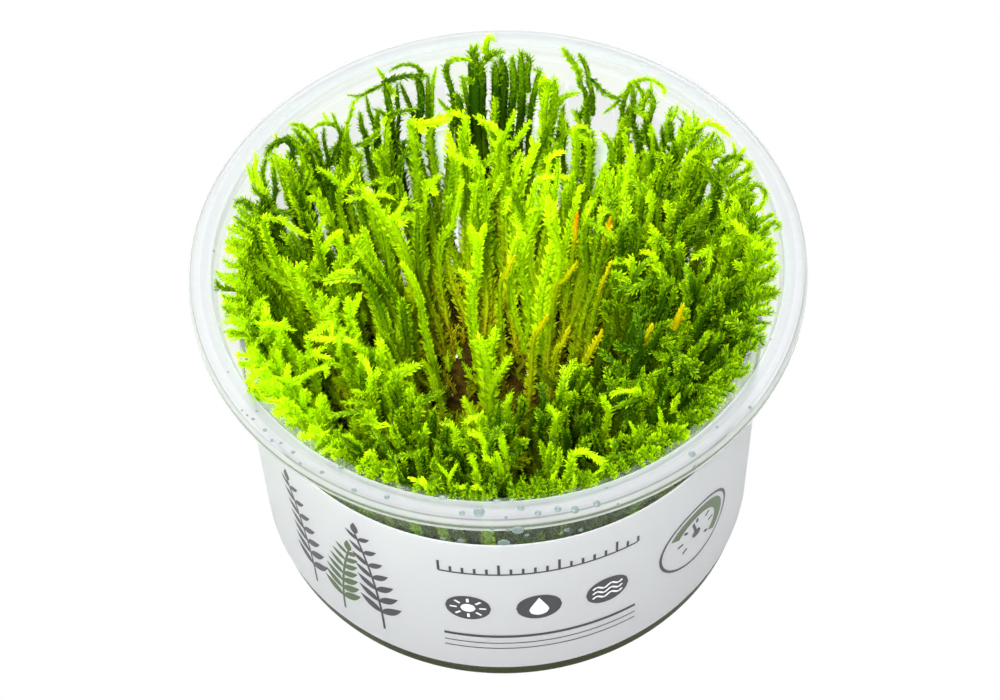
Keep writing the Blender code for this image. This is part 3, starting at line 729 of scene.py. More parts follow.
def picture_place(point):
    """Picture position of a place in space."""
    place, right, up, forward = camera_axes()
    away = point - place
    reach = CAMERA_LENS / SENSOR_WIDTH * PICTURE_WIDTH / away.dot(forward)
    return PICTURE_WIDTH / 2.0 + reach * away.dot(right), PICTURE_HEIGHT / 2.0 - reach * away.dot(up)


# Tub

def body_radius(height):
    return BODY_RADIUS_LOW + BODY_TAPER * (height - BODY_LOW_Z)


def inside_radius(height):
    """Room inside the tub at a height, with the wider lid seat above the shoulder."""
    if height > TUB_HEIGHT:
        return RIM_RADIUS
    if height > TUB_HEIGHT - SEAT_DEPTH:
        return MOUTH_RADIUS - 0.2
    return body_radius(min(height, SHOULDER_Z)) - WALL


def tub_profile():
    wall_top = body_radius(SHOULDER_Z)
    seat_floor = TUB_HEIGHT - SEAT_DEPTH
    flange_under = TUB_HEIGHT - FLANGE_THICKNESS
    lip_bottom = TUB_HEIGHT - LIP_DEPTH
    floor_top = FOOT_HEIGHT + WALL
    return [
        (0.0, FOOT_HEIGHT),
        (FOOT_RADIUS - FOOT_WIDTH - 1.0, FOOT_HEIGHT),
        (FOOT_RADIUS - FOOT_WIDTH, 0.0),
        (FOOT_RADIUS, 0.0),
        (FOOT_RADIUS + 0.35, 0.2),
        (BODY_RADIUS_LOW, BODY_LOW_Z),
        (wall_top, SHOULDER_Z),
        (wall_top + 0.7, SHOULDER_Z + 1.0),
        (MOUTH_RADIUS - 0.7, seat_floor - 0.9),
        (MOUTH_RADIUS + 0.15, seat_floor),
        (MOUTH_RADIUS + 0.6, flange_under - 0.6),
        (MOUTH_RADIUS + 1.1, flange_under),
        (RIM_RADIUS - 1.2, flange_under),
        (RIM_RADIUS - 0.75, flange_under - 0.6),
        (RIM_RADIUS - 0.7, lip_bottom),
        (RIM_RADIUS, lip_bottom),
        (RIM_RADIUS, TUB_HEIGHT - 1.1),
        (RIM_RADIUS - 0.35, TUB_HEIGHT - 0.35),
        (RIM_RADIUS - 1.1, TUB_HEIGHT),
        (MOUTH_RADIUS + 0.7, TUB_HEIGHT),
        (MOUTH_RADIUS + 0.15, TUB_HEIGHT - 0.2),
        (MOUTH_RADIUS, TUB_HEIGHT - 0.7),
        (MOUTH_RADIUS - 0.55, seat_floor + 0.5),
        (MOUTH_RADIUS - 1.2, seat_floor),
        (wall_top - 0.1, seat_floor - 0.9),
        (wall_top - WALL + 0.05, SHOULDER_Z + 0.6),
        (body_radius(floor_top + 1.2) - WALL, floor_top + 1.2),
        (body_radius(floor_top) - WALL - 0.9, floor_top + 0.25),
        (body_radius(floor_top) - WALL - 2.0, floor_top),
        (0.0, floor_top),
    ]


def band(tree, value, low, high, soft):
    """1 where a value lies between two limits, with soft edges, and 0 elsewhere."""
    rise = add_node(tree, "ShaderNodeMapRange", {
        "Value": value, "From Min": low - soft, "From Max": low + soft}, interpolation_type="SMOOTHSTEP")
    fall = add_node(tree, "ShaderNodeMapRange", {
        "Value": value, "From Min": high - soft, "From Max": high + soft, "To Min": 1.0, "To Max": 0.0},
        interpolation_type="SMOOTHSTEP")
    return math_node(tree, "MULTIPLY", rise.outputs[0], fall.outputs[0])


def clear_plastic():
    """Thin moulded plastic: see-through wall, milky where the flange is thick, in zones, some of whose
    colours are painted refraction, highlight and shade.
    """
    material, tree, output = new_material("clear_plastic")
    place = add_node(tree, "ShaderNodeTexCoord").outputs["Object"]
    scaled = add_node(tree, "ShaderNodeVectorMath", {0: place, 3: 1.0 / MM}, operation="SCALE").outputs[0]
    across, along, height = add_node(tree, "ShaderNodeSeparateXYZ", {0: scaled}).outputs
    reach = math_node(tree, "SQRT", math_node(
        tree, "MULTIPLY_ADD", across, across, math_node(tree, "MULTIPLY", along, along)))
    haze = noise(tree, place, 60.0, 3.0)
    speckle = noise(tree, place, 900.0)
    milk = math_node(tree, "MULTIPLY_ADD", haze, 0.04, 0.01)
    color = mix_color(tree, 0.0, (0.60, 0.64, 0.64), (0.0, 0.0, 0.0))
    for _, inner, outer, bottom, top, soft, amount, shade in PLASTIC_ZONES:
        zone = math_node(
            tree, "MULTIPLY", band(tree, reach, inner, outer, soft), band(tree, height, bottom, top, soft))
        varied = math_node(tree, "MULTIPLY_ADD", haze, 0.3 * amount, 0.80 * amount)
        varied = math_node(tree, "MULTIPLY_ADD", speckle, 0.1 * amount, varied)
        change = math_node(tree, "MULTIPLY", zone, math_node(tree, "SUBTRACT", varied, milk))
        milk = math_node(tree, "ADD", milk, change)
        # Zone colours include painted refraction, painted highlight and painted shade, as noted in
        # PLASTIC_ZONES.
        color = mix_color(tree, zone, color, shade)
    drawn = add_node(tree, "ShaderNodeVectorMath", {0: scaled, 1: (0.45, 0.45, 0.02)}, operation="MULTIPLY")
    runs = add_node(tree, "ShaderNodeTexNoise", {"Vector": drawn.outputs[0], "Scale": 1.0}).outputs[0]
    runs = math_node(tree, "MULTIPLY", band(tree, runs, 0.56, 1.5, 0.03), band(tree, height, 42.0, 58.0, 1.0))
    milk = math_node(tree, "MULTIPLY", milk, math_node(tree, "MULTIPLY_ADD", runs, -0.8, 1.0))
    clear = add_node(tree, "ShaderNodeBsdfTransparent", {"Color": (0.99, 0.995, 0.99, 1.0)})
    body = add_node(tree, "ShaderNodeBsdfDiffuse", {"Color": color})
    through = add_node(tree, "ShaderNodeBsdfTranslucent", {"Color": color})
    milky = add_node(tree, "ShaderNodeMixShader", {0: 0.5, 1: body.outputs[0], 2: through.outputs[0]})
    mixed = add_node(tree, "ShaderNodeMixShader", {0: milk, 1: clear.outputs[0], 2: milky.outputs[0]})
    edge = add_node(tree, "ShaderNodeLayerWeight").outputs["Facing"]
    edge = math_node(tree, "MULTIPLY", math_node(tree, "POWER", edge, 4.0), 0.5)
    gloss = add_node(tree, "ShaderNodeBsdfGlossy", {"Color": (0.9, 0.93, 0.92, 1.0), "Roughness": 0.2})
    shader = add_node(tree, "ShaderNodeMixShader", {0: edge, 1: mixed.outputs[0], 2: gloss.outputs[0]})
    return surfaced(material, tree, output, shader)


# Wrap

def wrap_paper(name, color, through_color):
    """Coated paper that lets some of the light into the tub."""
    material, tree, output = new_material(name)
    place = add_node(tree, "ShaderNodeTexCoord").outputs["Object"]
    fibre = noise(tree, place, 2500.0, 3.0)
    bump = add_node(tree, "ShaderNodeBump", {"Height": fibre, "Strength": 0.15, "Distance": 0.0001})
    cloud = noise(tree, place, 40.0)
    cloud = math_node(tree, "MULTIPLY", cloud, 0.12)
    shaded = mix_color(tree, cloud, color, tuple(0.7 * value for value in color))
    paper = add_node(tree, "ShaderNodeBsdfPrincipled", {
        "Base Color": shaded, "Roughness": 0.45, "Normal": bump.outputs[0]})
    through = add_node(tree, "ShaderNodeBsdfTranslucent", {"Color": (*through_color, 1.0)})
    shader = add_node(tree, "ShaderNodeMixShader", {0: 0.55, 1: paper.outputs[0], 2: through.outputs[0]})
    return surfaced(material, tree, output, shader)


def wrap_mesh(columns, rows):
    """The paper band, open at its seam, with its inside as a second material."""
    builder = bmesh.new()
    start = math.radians(WRAP_SEAM_ANGLE + WRAP_GAP_ANGLE / 2.0)
    sweep = math.radians(360.0 - WRAP_GAP_ANGLE)
    section = []
    for row in range(rows + 1):
        section.append((WRAP_BOTTOM + (WRAP_TOP - WRAP_BOTTOM) * row / rows, WRAP_STANDOFF + WRAP_THICKNESS))
    for row in range(rows, -1, -1):
        section.append((WRAP_BOTTOM + (WRAP_TOP - WRAP_BOTTOM) * row / rows, WRAP_STANDOFF))
    grid = []
    for step in range(columns + 1):
        angle = start + sweep * step / columns
        line = []
        for height, standoff in section:
            radius = (body_radius(height) + standoff) * MM
            line.append(builder.verts.new((radius * math.cos(angle), radius * math.sin(angle), height * MM)))
        grid.append(line)
    count = len(section)
    for before, after in zip(grid, grid[1:]):
        for index in range(count):
            following = (index + 1) % count
            face = builder.faces.new((before[index], after[index], after[following], before[following]))
            face.material_index = 1 if rows < index < count - 1 else 0
    builder.faces.new(grid[0])
    builder.faces.new(list(reversed(grid[-1])))
    bmesh.ops.recalc_face_normals(builder, faces=builder.faces)
    mesh = bpy.data.meshes.new("label_paper")
    builder.to_mesh(mesh)
    builder.free()
    mesh.shade_smooth()
    mesh.set_sharp_from_angle(angle=math.radians(40.0))
    return mesh


def on_wrap(x, height, lift):
    """Place on the outside of the wrap for millimetres round from the front and up from the foot."""
    angle = -0.5 * math.pi + x / PRINT_REACH
    radius = body_radius(height) + WRAP_STANDOFF + WRAP_THICKNESS + lift
    return Vector((radius * math.cos(angle), radius * math.sin(angle), height)) * MM


class Print:
    """Thin patches of ink that lie on the wrap."""

    def __init__(self):
        self.builder = bmesh.new()

    def patch(self, corners, ink, lift=PRINT_LIFT):
        vertices = [self.builder.verts.new(on_wrap(x, height, lift)) for x, height in corners]
        face = self.builder.faces.new(vertices)
        face.material_index = list(INKS).index(ink)

    def stroke(self, points, width, ink, lift=PRINT_LIFT):
        """A line through points, cut short enough to follow the wrap."""
        dense = []
        for (x0, h0), (x1, h1) in zip(points, points[1:]):
            steps = max(1, math.ceil(math.hypot(x1 - x0, h1 - h0) / 1.2))
            for step in range(steps):
                dense.append((x0 + (x1 - x0) * step / steps, h0 + (h1 - h0) * step / steps))
        dense.append(points[-1])
        sides = []
        for index, (x, h) in enumerate(dense):
            x0, h0 = dense[max(index - 1, 0)]
            x1, h1 = dense[min(index + 1, len(dense) - 1)]
            length = math.hypot(x1 - x0, h1 - h0)
            across = (0.5 * width * (h0 - h1) / length, 0.5 * width * (x1 - x0) / length)
            sides.append(((x + across[0], h + across[1]), (x - across[0], h - across[1])))
        for (left, right), (next_left, next_right) in zip(sides, sides[1:]):
            self.patch((right, next_right, next_left, left), ink, lift)

    def disc(self, place, radius, ink, lift=PRINT_LIFT):
        """A full disc, made of bands so that it follows the wrap."""
        bands = max(8, math.ceil(2.0 * radius / 0.3))
        for step in range(bands):
            low, high = (-radius + 2.0 * radius * (step + part) / bands for part in (0, 1))
            near = math.sqrt(max(radius ** 2 - low ** 2, 0.0))
            far = math.sqrt(max(radius ** 2 - high ** 2, 0.0))
            x, h = place
            self.patch(((x + low, h - near - 0.001), (x + high, h - far - 0.001),
                        (x + high, h + far + 0.001), (x + low, h + near + 0.001)), ink, lift)

    def arc(self, place, radius, width, start, end, ink):
        line = []
        for step in range(49):
            angle = math.radians(start + (end - start) * step / 48)
            line.append((place[0] + radius * math.cos(angle), place[1] + radius * math.sin(angle)))
        self.stroke(line, width, ink)

    def leaf(self, place, angle, length, width, ink):
        """A pointed leaf that starts at a place and points along an angle."""
        sides = []
        for step in range(7):
            share = step / 6
            half = 0.5 * width * math.sin(math.pi * share ** 0.8) + 0.02
            x = place[0] + length * share * math.cos(angle)
            h = place[1] + length * share * math.sin(angle)
            across = (half * math.sin(angle), -half * math.cos(angle))
            sides.append(((x + across[0], h + across[1]), (x - across[0], h - across[1])))
        for (left, right), (next_left, next_right) in zip(sides, sides[1:]):
            self.patch((left, next_left, next_right, right), ink)

    def sprig(self, x, bottom, height, bend, ink):
        """A sprig: a curved stem with pairs of leaves that get shorter towards the tip."""
        stem = []
        for step in range(17):
            share = step / 16
            stem.append((x + bend * share * share, bottom + height * share))
        self.stroke(stem, LINE_WIDTH, ink)
        for index in range(3, 16, 2):
            length = 6.0 * (1.0 - 0.5 * index / 16)
            for side in (-0.85, 0.85):
                self.leaf(stem[index], 0.5 * math.pi + side, length, 0.36 * length, ink)
        self.leaf(stem[-1], 0.5 * math.pi, 3.6, 1.5, ink)

    def mesh(self):
        bmesh.ops.recalc_face_normals(self.builder, faces=self.builder.faces)
        for face in self.builder.faces:
            middle = face.calc_center_median()
            if face.normal.x * middle.x + face.normal.y * middle.y < 0.0:
                face.normal_flip()
        mesh = bpy.data.meshes.new("print")
        self.builder.to_mesh(mesh)
        self.builder.free()
        return mesh


def draw_print():
    """Plain motifs: sprigs, a ruler, three discs with a sun, a drop and waves, rules and a dial."""
    drawing = Print()
    for sprig in SPRIGS:
        drawing.sprig(*sprig)
    left, right = RULER_ENDS
    drawing.stroke(((left, RULER_LEVEL), (right, RULER_LEVEL)), LINE_WIDTH, "dark ink")
    for index in range(int((right - left) / RULER_STEP) + 1):
        x = left + RULER_STEP * index
        height = 3.2 if index % 5 == 0 else 1.8
        drawing.stroke(((x, RULER_LEVEL), (x, RULER_LEVEL + height)), LINE_WIDTH, "dark ink")
    for place in DISC_PLACES:
        drawing.disc((place, DISC_LEVEL), DISC_RADIUS, "dark ink")
    above = 2.0 * PRINT_LIFT
    sun = (DISC_PLACES[0], DISC_LEVEL)
    drawing.disc(sun, 1.3, "paper white", above)
    for index in range(8):
        angle = 0.25 * math.pi * index
        ends = [(sun[0] + reach * math.cos(angle), sun[1] + reach * math.sin(angle)) for reach in (1.9, 3.1)]
        drawing.stroke(ends, LINE_WIDTH, "paper white", above)
    drop = (DISC_PLACES[1], DISC_LEVEL - 0.9)
    drawing.disc(drop, 1.7, "paper white", above)
    corners = ((drop[0] - 1.55, drop[1] + 0.7), (drop[0] + 1.55, drop[1] + 0.7), (drop[0], drop[1] + 4.0))
    drawing.patch(corners, "paper white", above)
    for level in (-1.5, 0.0, 1.5):
        wave = []
        for step in range(13):
            x = -2.7 + 5.4 * step / 12
            wave.append((DISC_PLACES[2] + x, DISC_LEVEL + level + 0.45 * math.sin(2.4 * x)))
        drawing.stroke(wave, LINE_WIDTH, "paper white", above)
    for level, width in RULES:
        drawing.stroke(((left, level), (right, level)), width, "dark ink")
    drawing.arc(DIAL_PLACE, DIAL_RADIUS, DIAL_LINE_WIDTH, 0.0, 360.0, "dark ink")
    drawing.arc(DIAL_PLACE, DIAL_RADIUS - 2.3, 2.2, -45.0, 150.0, "leaf green")
    for index in range(7):
        angle = math.radians(-45.0 + 45.0 * index)
        ends = []
        for reach in (DIAL_RADIUS - 5.2, DIAL_RADIUS - 3.9):
            ends.append((DIAL_PLACE[0] + reach * math.cos(angle), DIAL_PLACE[1] + reach * math.sin(angle)))
        drawing.stroke(ends, DIAL_LINE_WIDTH, "dark ink")
    needle = math.radians(105.0)
    tip = (DIAL_PLACE[0] + 4.0 * math.cos(needle), DIAL_PLACE[1] + 4.0 * math.sin(needle))
    drawing.stroke((DIAL_PLACE, tip), DIAL_LINE_WIDTH, "dark ink")
    drawing.disc(DIAL_PLACE, 1.1, "dark ink", above)
    return drawing.mesh()


def ink_material(name, color):
    material, tree, output = new_material(name.replace(" ", "_"))
    place = add_node(tree, "ShaderNodeTexCoord").outputs["Object"]
    grain = noise(tree, place, 3000.0)
    darker, lighter = (tuple(factor * value for value in color) for factor in (0.8, 1.2))
    shaded = mix_color(tree, grain, darker, lighter)
    ink = add_node(tree, "ShaderNodeBsdfPrincipled", {"Base Color": shaded, "Roughness": 0.5})
    return surfaced(material, tree, output, ink)


# Water

def on_flange(point):
    """A place on the flange's flat top or on the rounding at its edges, and which way it faces."""
    reach = math.hypot(point.x, point.y)
    outward = Vector((point.x, point.y, 0.0)) / reach
    reach = min(max(reach, MOUTH_RADIUS), RIM_RADIUS - FLANGE_LIMIT)
    past = max(0.0, reach - RIM_RADIUS + FLANGE_ROUNDING) - max(0.0, MOUTH_RADIUS + MOUTH_ROUNDING - reach)
    normal = (Vector((0.0, 0.0, 1.0)) + 0.9 * past * outward).normalized()
    return outward * reach + Vector((0.0, 0.0, TUB_HEIGHT - 0.4 * abs(past))), normal


def drop_base(carrier, column, row):
    """Where a drop sits, and which way its carrier faces there."""
    if carrier == "flange":
        return on_flange(seen_at_level(column, row, TUB_HEIGHT))
    if carrier in FLAT_CARRIERS:
        return seen_at_level(column, row, FLAT_CARRIERS[carrier]), Vector((0.0, 0.0, 1.0))
    place, toward = sight_line(column, row)
    point = place
    radius = RIM_RADIUS
    for _ in range(4):
        flat = Vector((toward.x, toward.y))
        start = Vector((place.x, place.y))
        half = start.dot(flat) / flat.dot(flat)
        rest = (start.dot(start) - radius ** 2) / flat.dot(flat)
        point = place + toward * (-half - math.sqrt(max(half * half - rest, 0.0)))
        if carrier == "wall":
            radius = body_radius(point.z)
    return point, Vector((point.x, point.y, 0.0)).normalized()


def add_drop(builder, rim, base, normal, radius, height):
    """A flattened dome of water on its carrier, closed underneath."""
    turn = normal.to_track_quat("Z", "Y")
    rings = []
    for share in (0.0, 0.35, 0.7, 0.93):
        ring = []
        for step in range(10):
            angle = 0.2 * math.pi * step
            reach = radius * math.sqrt(1.0 - share * share)
            offset = turn @ Vector((reach * math.cos(angle), reach * math.sin(angle), height * share - 0.02))
            vertex = builder.verts.new((base + offset) * MM)
            vertex[rim] = 1.0 - share
            ring.append(vertex)
        rings.append(ring)
    top = builder.verts.new((base + turn @ Vector((0.0, 0.0, height))) * MM)
    for lower, upper in zip(rings, rings[1:]):
        for step in range(10):
            following = (step + 1) % 10
            builder.faces.new((lower[step], lower[following], upper[following], upper[step]))
    for step in range(10):
        builder.faces.new((rings[-1][step], rings[-1][(step + 1) % 10], top))
    builder.faces.new(tuple(reversed(rings[0])))


def drops_mesh(name, carriers, flatness):
    builder = bmesh.new()
    rim = builder.verts.layers.float.new("rim")
    for _, carrier, column, row, radius in DROPS:
        if carrier in carriers:
            base, normal = drop_base(carrier, column, row)
            add_drop(builder, rim, base, normal, radius, flatness * radius)
    mesh = bpy.data.meshes.new(name)
    builder.to_mesh(mesh)
    builder.free()
    mesh.shade_smooth()
    return mesh


def clear_water():
    """Drops with a grey-green middle, which is painted refraction, and a white edge, which is a painted
    highlight.
    """
    material, tree, output = new_material("clear_water")
    rim = add_node(tree, "ShaderNodeAttribute", attribute_name="rim").outputs["Fac"]
    place = add_node(tree, "ShaderNodeTexCoord").outputs["Object"]
    cloud = noise(tree, place, 1500.0)
    edge = math_node(tree, "POWER", rim, 2.5)
    edge = math_node(tree, "MULTIPLY_ADD", cloud, 0.2, math_node(tree, "MULTIPLY", edge, 0.9), clamp=True)
    # Painted refraction in the dark grey-green middle, painted highlight in the white edge.
    color = mix_color(tree, edge, (0.13, 0.19, 0.18), (0.50, 0.57, 0.56))
    clear = add_node(tree, "ShaderNodeBsdfTransparent", {"Color": (0.80, 0.85, 0.84, 1.0)})
    body = add_node(tree, "ShaderNodeBsdfPrincipled", {"Base Color": color, "Roughness": 0.15})
    shader = add_node(tree, "ShaderNodeMixShader", {0: 0.6, 1: clear.outputs[0], 2: body.outputs[0]})
    return surfaced(material, tree, output, shader)


def brown_water():
    """Wet old growth: dark brown and glossy, with white patches in its colour that are painted highlights."""
    material, tree, output = new_material("brown_water")
    place = add_node(tree, "ShaderNodeTexCoord").outputs["Object"]
    cloud = noise(tree, place, 900.0)
    # Painted highlights: near-white patches put into the colour where the noise falls in a band.
    glint = band(tree, cloud, 0.50, 0.62, 0.03)
    color = mix_color(tree, glint, (0.03, 0.018, 0.002), (0.80, 0.80, 0.74))
    shader = add_node(tree, "ShaderNodeBsdfPrincipled", {
        "Base Color": color, "Roughness": 0.06, "Specular IOR Level": 0.9})
    return surfaced(material, tree, output, shader)


# Gel and old growth

def wet_gel():
    material, tree, output = new_material("wet_gel")
    shader = add_node(tree, "ShaderNodeBsdfPrincipled", {
        "Base Color": (0.13, 0.16, 0.015, 1.0), "Roughness": 0.08, "Transmission Weight": 0.25, "IOR": 1.34})
    return surfaced(material, tree, output, shader)


def old_stems():
    material, tree, output = new_material("old_stems")
    place = add_node(tree, "ShaderNodeTexCoord").outputs["Object"]
    grain = noise(tree, place, 700.0, 6.0)
    browns = color_ramp(tree, grain, (0.35, (0.016, 0.007, 0.001)), (0.72, (0.060, 0.042, 0.002)))
    bump = add_node(tree, "ShaderNodeBump", {"Height": grain, "Strength": 1.0, "Distance": 0.001})
    shader = add_node(tree, "ShaderNodeBsdfPrincipled", {
        "Base Color": browns, "Roughness": 0.7, "Specular IOR Level": 0.05, "Normal": bump.outputs[0]})
    return surfaced(material, tree, output, shader)


# Moss

def warped(x, y):
    return x + PLAN_WARP * math.sin(0.17 * y + 0.9), y + PLAN_WARP * math.sin(0.15 * x - 1.3)


def fan(root, height):
    """How far out a shoot has leaned at a height, as a multiple of its root's distance."""
    share = (height - CLUMP_TOP) / (TIP_LEVEL - CLUMP_TOP)
    near_middle = max(0.0, 1.0 - math.hypot(*root) / RINGS[0][1])
    return 1.0 + (SPREAD + INNER_SPREAD * near_middle) * share


def shoot_centre(root, height, tip):
    """Where the shoot that grows at root passes a height: it leans out from the middle."""
    rise = (height - CLUMP_TOP) / (tip - CLUMP_TOP)
    lean = fan(root, height)
    bend = SWAY * math.sin(math.pi * min(max(rise, 0.0), 1.0))
    x = root[0] * lean + bend * math.sin(0.16 * root[1] + 0.7)
    y = root[1] * lean + bend * math.cos(0.19 * root[0] - 0.4)
    return Vector((x, y, height))


def kept_inside(point, margin=WALL_MARGIN):
    """Pull a point back from the tub's wall, further where leaves would show through the paper."""
    limit = inside_radius(point.z) - margin - (PAPER_MARGIN if point.z < SHOULDER_Z else 0.0)
    reach = math.hypot(point.x, point.y)
    if reach > limit:
        point.x *= limit / reach
        point.y *= limit / reach
    return point


class Shoots:
    """Centre lines of shoots, gathered as one mesh of edges with what the leaves need to know."""

    def __init__(self):
        self.points = []
        self.edges = []
        names = ("tone", "gold", "youth_and_depth_shade", "low", "girth", "leaf_size", "spread", "spin", "gap", "cover")
        self.values = {name: [] for name in names}

    def add(self, path, tone, size, spread, young=5.0, spin=0.0, gap=1.0, gold=0.0, gold_reach=1.0):
        """Add a shoot; its leaves stand out over the young end and lie close further down."""
        lengths = [0.0]
        for before, after in zip(path, path[1:]):
            lengths.append(lengths[-1] + (after - before).length)
        out_of_sight = math.hypot(path[0].x, path[0].y) > RINGS[0][1] or path[0].y < -6.0
        bareness = 0.8 if out_of_sight else 0.3
        aging = 0.3 if tone > BRIGHT_TONE else 1.0
        for index, (point, length) in enumerate(zip(path, lengths)):
            from_tip = lengths[-1] - length
            youth_and_depth_shade = math.exp(-(from_tip / young) ** 2)
            depth = min(max((OLD_BELOW - point.z) / (OLD_BELOW - ROOT_LEVEL), 0.0), 1.0)
            thicker = 1.0 + THICKENING * min(1.0, from_tip / FULL_BELOW)
            leaf_size = (0.4 + 0.6 * size) * (0.6 + 0.4 * min(1.0, from_tip / 2.0)) * thicker
            if point.z < SHOULDER_Z + 1.0:
                paper = inside_radius(point.z) + WALL + WRAP_STANDOFF
                leaf_size = min(leaf_size, max(0.3, (paper - math.hypot(point.x, point.y)) / LEAF_REACH))
            record = {
                "tone": tone,
                "gold": gold * math.exp(-(from_tip / gold_reach) ** 2),
                "youth_and_depth_shade": youth_and_depth_shade,
                "low": aging * depth,
                "girth": size * min(1.0, 0.25 + 0.28 * from_tip),
                "leaf_size": leaf_size,
                "spread": OLD_SPREAD + (spread - OLD_SPREAD) * youth_and_depth_shade,
                "spin": spin,
                "gap": gap,
                "cover": 1.0 - bareness * depth,
            }
            for name, value in record.items():
                self.values[name].append(value)
            if index:
                self.edges.append((len(self.points) - 1, len(self.points)))
            self.points.append(point * MM)

    def mesh(self, name):
        mesh = bpy.data.meshes.new(name)
        mesh.from_pydata(self.points, self.edges, [])
        for key, values in self.values.items():
            layer = mesh.attributes.new(key, "FLOAT", "POINT")
            layer.data.foreach_set("value", values)
        return mesh


def grown_path(root, tip, chance, step=2.2):
    """Centre line of one shoot from its root up to its tip's height."""
    drift = chance.uniform(0.0, 2.0 * math.pi)
    lean = chance.uniform(0.0, 2.6)
    phase = chance.uniform(0.0, 2.0 * math.pi)
    wobble = chance.uniform(0.5, 1.4)
    count = max(4, int((tip - ROOT_LEVEL) / step))
    path = []
    for index in range(count + 1):
        share = index / count
        height = ROOT_LEVEL + (tip - ROOT_LEVEL) * share
        point = shoot_centre(root, height, tip)
        point.x += lean * share * share * math.cos(drift)
        point.y += lean * share * share * math.sin(drift)
        point.x += wobble * math.sin(phase + 7.0 * share)
        point.y += wobble * math.cos(phase + 5.0 * share)
        path.append(kept_inside(point))
    return path


def curl_tip(path, chance, turn, radius, straight):
    """Bend the end of a path over towards a random side, as the lid once pressed it."""
    heading = (path[-1] - path[-2]).normalized()
    angle = chance.uniform(0.0, 2.0 * math.pi)
    side = Vector((math.cos(angle), math.sin(angle), 0.0))
    axis = heading.cross(side).normalized()
    step = 0.7
    steps = int(radius * turn / step)
    point = path[-1].copy()
    for _ in range(steps):
        heading = Matrix.Rotation(step / radius, 3, axis) @ heading
        point = point + heading * step
        path.append(kept_inside(point.copy()))
    for _ in range(int(straight / step)):
        heading.z -= 0.04
        heading.normalize()
        point = point + heading * step
        path.append(kept_inside(point.copy()))
    return path


def cleared(path):
    """Cut a path off where it would hide one of the clearings."""
    for index, point in enumerate(path):
        column, row = picture_place(point)
        for _, middle, level, half_width, half_height in CLEARINGS:
            if math.hypot((column - middle) / half_width, (row - level) / half_height) < 1.0:
                return path[:max(index, 3)]
    return path


def side_branch(path, chance, length):
    """Centre line of a branch that leaves a path part of the way up."""
    index = int(len(path) * chance.uniform(0.45, 0.9))
    index = min(max(index, 1), len(path) - 2)
    heading = (path[index + 1] - path[index - 1]).normalized()
    angle = chance.uniform(0.0, 2.0 * math.pi)
    side = Vector((math.cos(angle), math.sin(angle), 0.0))
    heading = (heading + side * chance.uniform(0.5, 0.9)).normalized()
    point = path[index].copy()
    branch = [point.copy()]
    for _ in range(max(3, int(length / 0.9))):
        heading = (heading + Vector((0.0, 0.0, 0.06))).normalized()
        point = point + heading * 0.9
        branch.append(kept_inside(point.copy()))
    return branch


def edge_branch(path, chance):
    """Centre line of a branch that leans out over the lid seat, up to the mouth's edge."""
    start = min(path, key=lambda point: abs(point.z - EDGE_START))
    angle = math.atan2(start.y, start.x) + chance.uniform(-0.09, 0.09)
    end = (chance.uniform(*EDGE_END_LEVELS), MOUTH_RADIUS - chance.uniform(*EDGE_CLEARANCES))
    points = [start.copy()]
    for level, reach in ((EDGE_BEND_LEVEL, EDGE_BEND_REACH), end):
        points.append(Vector((reach * math.cos(angle), reach * math.sin(angle), level)))
    return [kept_inside(point) for point in smooth_line(points, 0.9)]


def smooth_line(points, step=0.8):
    """A smooth line through points, with steps of about the given length."""
    line = []
    padded = [points[0] * 2.0 - points[1], *points, points[-1] * 2.0 - points[-2]]
    for before, start, end, after in zip(padded, padded[1:], padded[2:], padded[3:]):
        count = max(1, round((end - start).length / step))
        for index in range(count):
            share = index / count
            leaving = (end - before) * 0.5
            arriving = (after - start) * 0.5
            swing = 3.0 * (end - start) - 2.0 * leaving - arriving
            settle = 2.0 * (start - end) + leaving + arriving
            line.append(start + share * (leaving + share * (swing + share * settle)))
    line.append(points[-1])
    return line


def roomy_place(column, row, depth, size):
    """A place in the line of sight, moved towards the camera until the tub has room for it."""
    point = seen_at_depth(column, row, depth)
    step = 0.3 * sight_line(column, row)[1].normalized()
    while point.y > 4.0 and point.z < TOP_REACH:
        margin = min(LEAF_MARGIN + LEAF_MARGIN_RISE * size, LARGEST_MARGIN)
        if point.z > SHOULDER_Z:
            margin = PLACED_MARGIN
        if math.hypot(point.x, point.y) < inside_radius(point.z) - margin:
            break
        point -= step
    return kept_inside(point, PLACED_MARGIN)


def placed_path(tip_level, branches, positions, size):
    """Centre line in space of a shoot that is given by picture positions, and its root's place."""
    depth = seen_at_level(*positions[-1], tip_level).y
    points = [roomy_place(column, row, depth, size) for column, row in positions]
    start = points[0]
    root = (start.x / (1.0 + SPREAD), start.y / (1.0 + SPREAD))
    for _ in range(3):
        lean = fan(root, start.z)
        root = (start.x / lean, start.y / lean)
    if not branches and start.z > ROOT_LEVEL + 4.0:
        points.insert(0, Vector((*root, ROOT_LEVEL)))
    return [kept_inside(point, PLACED_MARGIN) for point in smooth_line(points)], root


def tuft_of(root):
    """Ring and sector of the tuft that a root belongs to."""
    reach = math.hypot(*root)
    ring = RINGS[sum(reach < border for border in RING_BORDERS)]
    sweep = 2.0 * math.pi / ring[3]
    turn = (math.atan2(root[1], root[0]) + 0.5 * math.pi + 0.5 * sweep) % (2.0 * math.pi)
    sector = int(turn / sweep) % ring[3]
    if sector in ring[6]:
        ring = RINGS[1]
        sector = int(turn / (2.0 * math.pi / ring[3])) % ring[3]
    return ring[0], sector


